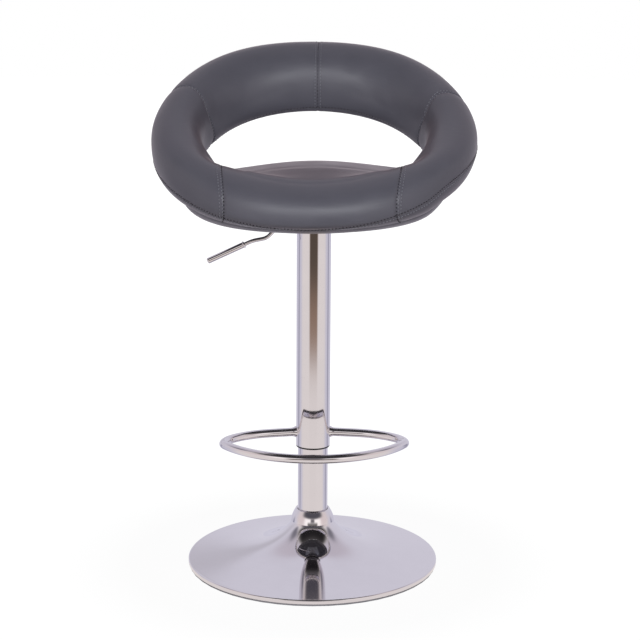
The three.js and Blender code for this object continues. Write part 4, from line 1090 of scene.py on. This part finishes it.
def sew(name, line, thread, shift=0.0, length=0.0036, size=0.00042):
    """A row of stitches beside a line on the cover, shift to its right. Each is an arch of thread,
    round in section: along its length u from -1 to 1 it stands proud by (1 - u^2) times its
    thickness and thins towards both ends, where it dips into the cover."""
    spots, out = onto_cover(evenly(onto_cover(sag(line))[0], len(line)))
    way = np.gradient(spots, axis=0)
    side = np.cross(way, out)
    side /= np.linalg.norm(side, axis=1)[:, None]
    spots, out = onto_cover(spots + side * shift)
    total = np.linalg.norm(np.diff(spots, axis=0), axis=1).sum()
    spots = evenly(spots, max(int(total / STITCH_PITCH), 4))
    spots, out = onto_cover(spots)
    way = np.gradient(spots, axis=0)
    way -= (way * out).sum(1)[:, None] * out
    way /= np.linalg.norm(way, axis=1)[:, None]
    side = np.cross(way, out)
    u = np.linspace(-1, 1, 6)
    thick = size * np.sqrt(np.clip(1 - u**2, 0, 1))
    rise = size * (1 - u**2) - size * 0.55
    angle = np.linspace(0, 2 * np.pi, 6, endpoint=False)
    shape = (
        spots[:, None, None] + way[:, None, None] * (u * length / 2)[None, :, None, None]
        + side[:, None, None] * (thick[:, None] * np.cos(angle))[None, :, :, None]
        + out[:, None, None] * (thick[:, None] * np.sin(angle) + rise[:, None])[None, :, :, None]
    )
    count, rings, sides = shape.shape[:3]
    faces = grid_faces(rings, sides, False, True)
    every = (faces[None] + (np.arange(count) * rings * sides)[:, None, None]).reshape(-1, 4)
    mesh = bpy.data.meshes.new(name)
    mesh.from_pydata(shape.reshape(-1, 3), [], every.tolist())
    with editing(mesh) as work:
        bmesh.ops.remove_doubles(work, verts=work.verts, dist=1e-7)
        bmesh.ops.recalc_face_normals(work, faces=work.faces)
    mesh.shade_smooth()
    piece = new_piece(name, mesh, thread)
    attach(piece, "lift")


def outline_at(side, first, last):
    """The roll's outline along an arm seam, or in the middle of the back for side 0, from a point
    on its inner lower quarter, over the crest, to a point on its outer lower quarter; first and
    last are these quarters' t in radians."""
    turn = side * ARM_SEAM_TURN if side else math.pi
    t = np.linspace(0, np.pi / 2, 40)
    parts = [
        roll_quarter(turn, INNER, UNDER, np.linspace(first, 0, 20)),
        roll_quarter(turn, INNER, CREST, t[1:]),
        roll_quarter(turn, OUTER, CREST, t[::-1][1:]),
        roll_quarter(turn, OUTER, UNDER, np.linspace(0, last, 10)[1:]),
    ]
    reach = np.concatenate([part[0] for part in parts])
    height = np.concatenate([part[1] for part in parts])
    return on_hoop(side * arm_seam(height) if side else np.full(len(reach), math.pi), reach, height)


LINE_FIRST = math.radians(52)
LINE_LAST = math.radians(8)

centre_line = unsewn(outline_at(0, LINE_FIRST, LINE_LAST))
sew("back_stitches_left", centre_line, light_thread, 0.0050)
sew("back_stitches_right", centre_line, light_thread, -0.0043)
# painted shade: a dark row in the groove of the back's middle seam
sew("back_seam_shade_row", centre_line, seam_shade_thread, length=0.0034, size=0.00055)
for word, side in (("right", 1), ("left", -1)):
    arm_line = unsewn(outline_at(side, LINE_FIRST, LINE_LAST))
    sew(f"arm_stitches_{word}_1", arm_line, light_thread, 0.0021)
    sew(f"arm_stitches_{word}_2", arm_line, light_thread, -0.0021)

turn = np.radians(np.linspace(-180, 180, 1200))
lower_line = unsewn(on_hoop(turn, *edge_seam(turn)))
# the upper row is painted shade: dark dots for the needle holes in the lower seam's groove
sew("lower_edge_shade_dots", lower_line, seam_shade_thread, -0.0032, length=0.0030, size=0.0008)
sew("lower_stitches_lower", lower_line, light_thread, 0.0032, size=0.0006)
turn = np.radians(np.linspace(113, 247, 500))
inner_line = unsewn(on_hoop(turn, *inner_seam(turn)))
# painted shade: dark dots in the groove of the seam over the opening
sew("inner_edge_shade_dots", inner_line, seam_shade_thread, 0.003, length=0.003, size=0.0004)


def strip_line(side):
    """The seat seam of one side, from the lower edge in front over the roll to the back of the
    pad: rays in the seam's surface, first towards a point inside the roll, then straight down."""
    inside = np.array([-0.125, 0.610])
    swing = np.radians(np.linspace(-38, 88, 120))
    start = inside + 0.2 * np.stack([-np.cos(swing), np.sin(swing)], -1)
    aim = np.tile(inside, (len(swing), 1))
    y = np.linspace(-0.118, 0.125, 160)
    start = np.vstack([start, np.stack([y, np.where(y < 0, 0.75, SPLIT_HEIGHT)], -1)])
    aim = np.vstack([aim, np.stack([y, 0 * y + 0.55], -1)])
    place = start[:, 0]
    for _ in range(4):
        hits = []
        for reach, (y0, z0), (y1, z1) in zip(side * strip_half(place), start, aim):
            a = Vector(unsewn(np.array([reach, y0, z0])))
            b = Vector(unsewn(np.array([reach, y1, z1])))
            hit = surface.ray_cast(a, (b - a).normalized())[0]
            hits.append(sewn(np.array(hit)) if hit is not None else [np.nan] * 3)
        hits = np.array(hits)
        place = np.where(np.isfinite(hits[:, 1]), hits[:, 1], place)
    return unsewn(hits[np.isfinite(hits[:, 1])])


for word, side in (("right", 1), ("left", -1)):
    strip = evenly(strip_line(side), 300)
    sew(f"seat_stitches_{word}_1", strip, light_thread, 0.0022 * side)
    sew(f"seat_stitches_{word}_2", strip, light_thread, 0.0068 * side)
    # painted shade: a dark row in the groove of each seat seam
    sew(f"seat_seam_shade_row_{word}", strip, seam_shade_thread, length=0.0030, size=0.0008)


# Studio: a pale floor that runs into white, two soft lamps and one for the leather alone, and
# the room of pale walls and one dark end that only polished metal sees. None of it is part of
# the stool.

def ray_share(nodes, links, *kinds):
    """The output that is 1 for rays of these kinds and 0 for all others."""
    path = nodes.new("ShaderNodeLightPath")
    found = (path, kinds[0])
    for kind in kinds[1:]:
        either = nodes.new("ShaderNodeMath")
        either.operation = "MAXIMUM"
        join(links, (*found, either, 0), (path, kind, either, 1))
        found = (either, "Value")
    return found


floor_material = bpy.data.materials.new("pale_floor")
nodes, links = node_tree(floor_material)
nodes.remove(nodes["Principled BSDF"])
matt = nodes.new("ShaderNodeBsdfDiffuse")
set_inputs(matt, {"Color": (0.45, 0.45, 0.45, 1)})
glow = nodes.new("ShaderNodeEmission")
set_inputs(glow, {"Color": (1, 1, 1, 1), "Strength": 1.16})
place = nodes.new("ShaderNodeTexCoord")
away = nodes.new("ShaderNodeVectorMath")
away.operation = "LENGTH"
fade = nodes.new("ShaderNodeMapRange")
set_inputs(fade, {"From Min": 0.3, "From Max": 1.0, "To Min": 0.82, "To Max": 1.0})
seen = ray_share(nodes, links, "Is Camera Ray", "Is Glossy Ray")
share_seen = nodes.new("ShaderNodeMath")
share_seen.operation = "MULTIPLY"
blend = nodes.new("ShaderNodeMixShader")
join(
    links, (place, "Object", away, 0), (away, "Value", fade, "Value"),
    (*seen, share_seen, 0), (fade, "Result", share_seen, 1), (share_seen, "Value", blend, "Fac"),
    (matt, "BSDF", blend, 1), (glow, "Emission", blend, 2),
    (blend, "Shader", nodes["Material Output"], "Surface"),
)
turn = np.linspace(0, 2 * np.pi, 96, endpoint=False)[:, None]
rings = np.array([[0, 0.5, 1.5, 4, 12]])
floor = skin(
    "floor", np.stack([rings * np.cos(turn), rings * np.sin(turn), 0 * rings * turn], -1),
    floor_material, True, False,
)


def band(value, low, high, soft, soft_high):
    """1 between the two edges, each with its own softness, and 0 outside."""
    return past(value, low, soft) * past(-value, -high, soft_high)


def tint(weight, colour, under):
    """The colour laid over what is under it, by weight."""
    return under + weight[..., None] * (np.array(linear(*colour))[:3] - under)


def room_colours(azimuth, elevation, distance):
    """Colours of the room by azimuth from straight in front and elevation in degrees and distance on
    the floor: lavender behind with a darker stretch at each side, warm white at both sides, a bright
    warm band high in front, and in the middle of the front a dark wall and a floor that darkens."""
    aside = abs(azimuth) + 0 * elevation
    front = past(-aside, -26, 1.6)
    floor_part = past(-elevation, 0.5, 0.3) * front
    room = np.ones(aside.shape + (1,)) * np.array(linear(222, 220, 232))[:3]
    for weight, colour in (
        (past(elevation, 40, 4) * past(-aside, -152, 4), (204, 197, 208)),
        (band(elevation, 18, 28, 2, 1.2) * past(-azimuth, 120, 12), (200, 197, 207)),
        (past(-elevation, 1.5, 1.0), (213, 211, 226)),
        (band(aside, 109, 120, 1.5, 1.5) * past(-elevation, -6, 2), (158, 157, 176)),
        (past(-aside, -86, 4), (240, 233, 230)),
        (band(elevation, 8, 34, 2, 2) * past(-aside, -95, 9), (234, 220, 219)),
        (band(elevation, 8, 34, 2, 2) * past(-aside, -44, 4), (286, 280, 276)),
        (band(elevation, 30, 49, 1.5, 2) * past(-aside, -64, 5), (84, 82, 90)),
        (band(elevation, 35, 52, 1.5, 2) * band(aside, 88, 112, 3, 4), (120, 118, 128)),
        (band(elevation, -1, 17, 0.5, 1.5) * front, (62, 55, 52)),
        (band(elevation, 17, 31, 1.5, 1.5) * past(-aside, -11, 1.5), (118, 113, 118)),
        (band(elevation, 46, 84, 1.5, 4) * past(-aside, -84, 4), (34, 32, 34)),
        (floor_part * past(distance, 1.45, 0.12), (158, 132, 116)),
        (floor_part * past(distance, 2.3, 0.2), (90, 79, 70)),
    ):
        room = tint(weight, colour, room)
    return room


def room_wall(name, grid, colours):
    """A stretch of the room that shows in polished metal alone, coloured point by point."""
    material = bpy.data.materials.new(name)
    nodes, links = node_tree(material)
    nodes.remove(nodes["Principled BSDF"])
    shade = nodes.new("ShaderNodeAttribute")
    shade.attribute_name = "room"
    glow = nodes.new("ShaderNodeEmission")
    join(links, (shade, "Color", glow, "Color"), (glow, "Emission", nodes["Material Output"], "Surface"))
    mesh = bpy.data.meshes.new(name)
    mesh.from_pydata(grid.reshape(-1, 3), [], grid_faces(*grid.shape[:2]).tolist())
    shades = mesh.color_attributes.new("room", "FLOAT_COLOR", "POINT")
    values = np.concatenate([colours, np.ones(colours.shape[:2] + (1,))], -1)
    shades.data.foreach_set("color", values.ravel())
    piece = new_piece(name, mesh, material)
    piece.visible_camera = False
    piece.visible_diffuse = False
    piece.visible_shadow = False
    piece.visible_transmission = False


ROOM_RADIUS = 3.8
ROOM_FLOOR = 0.0006

azimuth = np.linspace(-180, 180, 241)[:, None]
spin = np.radians(azimuth)
elevation = np.linspace(0, 90, 61)[None]
lift = np.radians(elevation)
room_wall("room_walls", ROOM_RADIUS * np.stack([
    np.sin(spin) * np.cos(lift), -np.cos(spin) * np.cos(lift), np.sin(lift) + 0 * spin,
], -1), room_colours(azimuth, elevation + 1.6, 9.0))
distance = np.concatenate([[0.0], np.linspace(0.3, ROOM_RADIUS, 50)])[None]
room_wall("room_floor", np.stack([
    distance * np.sin(spin), -distance * np.cos(spin), ROOM_FLOOR + 0 * spin * distance,
], -1), room_colours(azimuth, -3.0 + 0 * distance, distance))


def lamp(name, place, aim, width, height, power, colour, pieces=None):
    """A broad lamp at a place, turned to a point. It makes no highlight, and polished metal sees
    the room instead, unless it is there for a few pieces alone."""
    light = bpy.data.lights.new(name, "AREA")
    light.shape = "RECTANGLE"
    light.size = width
    light.size_y = height
    light.energy = power
    light.color = colour
    holder = bpy.data.objects.new(name, light)
    way = Vector(aim) - Vector(place)
    holder.matrix_world = Matrix.Translation(place) @ way.to_track_quat("-Z", "Y").to_matrix().to_4x4()
    if pieces:
        lit = bpy.data.collections.new(name)
        for piece in pieces:
            lit.objects.link(piece)
        holder.light_linking.receiver_collection = lit
    else:
        holder.visible_glossy = False
    scene.collection.objects.link(holder)


padded_pieces = [pan] + [piece for piece in scene.objects if "_panel" in piece.name]
lamp("cover_lamp", (0, -3.1, 1.75), (0, 0, 0.65), 3.4, 0.7, 66, (0.94, 0.96, 1.0), padded_pieces)
for word, side in (("left", -1), ("right", 1)):
    lamp(f"{word}_lamp", (1.5 * side, -2.6, 1.5), (0, 0, 0.6), 2.0, 1.6, 22, (0.97, 0.97, 1.0))

air = bpy.data.worlds.new("studio_air")
nodes, links = node_tree(air)
dim = nodes["Background"]
set_inputs(dim, {"Color": (0.96, 0.95, 1.0, 1), "Strength": 0.15})
white = nodes.new("ShaderNodeBackground")
set_inputs(white, {"Color": (1, 1, 1, 1), "Strength": 1})
seen = ray_share(nodes, links, "Is Camera Ray", "Is Glossy Ray", "Is Transmission Ray")
blend = nodes.new("ShaderNodeMixShader")
join(
    links, (*seen, blend, "Fac"), (dim, "Background", blend, 1), (white, "Background", blend, 2),
    (blend, "Shader", nodes["World Output"], "Surface"),
)
scene.world = air
scene.view_settings.view_transform = "Standard"


# Camera: 2.6 m in front, 0.97 m up and 12 degrees down, turned by a quarter of a degree and
# rolled by a third, as the photograph's lines say.

CAMERA_PLACE = (0, -2.6, 0.9683)
FOCAL_PIXELS = 1650.6
PICTURE_PIXELS = 640
FILM_WIDTH = 36

down, aside, roll = np.radians([12.16, 0.23, 0.33])
right = np.array([np.cos(aside), -np.sin(aside), 0])
ahead_level = np.array([np.sin(aside), np.cos(aside), 0])
ahead = np.cos(down) * ahead_level - np.sin(down) * np.array([0, 0, 1])
upward = np.sin(down) * ahead_level + np.cos(down) * np.array([0, 0, 1])
view_right = right * np.cos(roll) + upward * np.sin(roll)
view_up = upward * np.cos(roll) - right * np.sin(roll)
lens = bpy.data.cameras.new("camera")
lens.sensor_width = FILM_WIDTH
lens.lens = FOCAL_PIXELS / PICTURE_PIXELS * FILM_WIDTH
lens.clip_end = 60
camera = bpy.data.objects.new("camera", lens)
turning = Matrix(np.column_stack([view_right, view_up, -ahead]).tolist()).to_4x4()
camera.matrix_world = Matrix.Translation(CAMERA_PLACE) @ turning
scene.collection.objects.link(camera)
scene.camera = camera
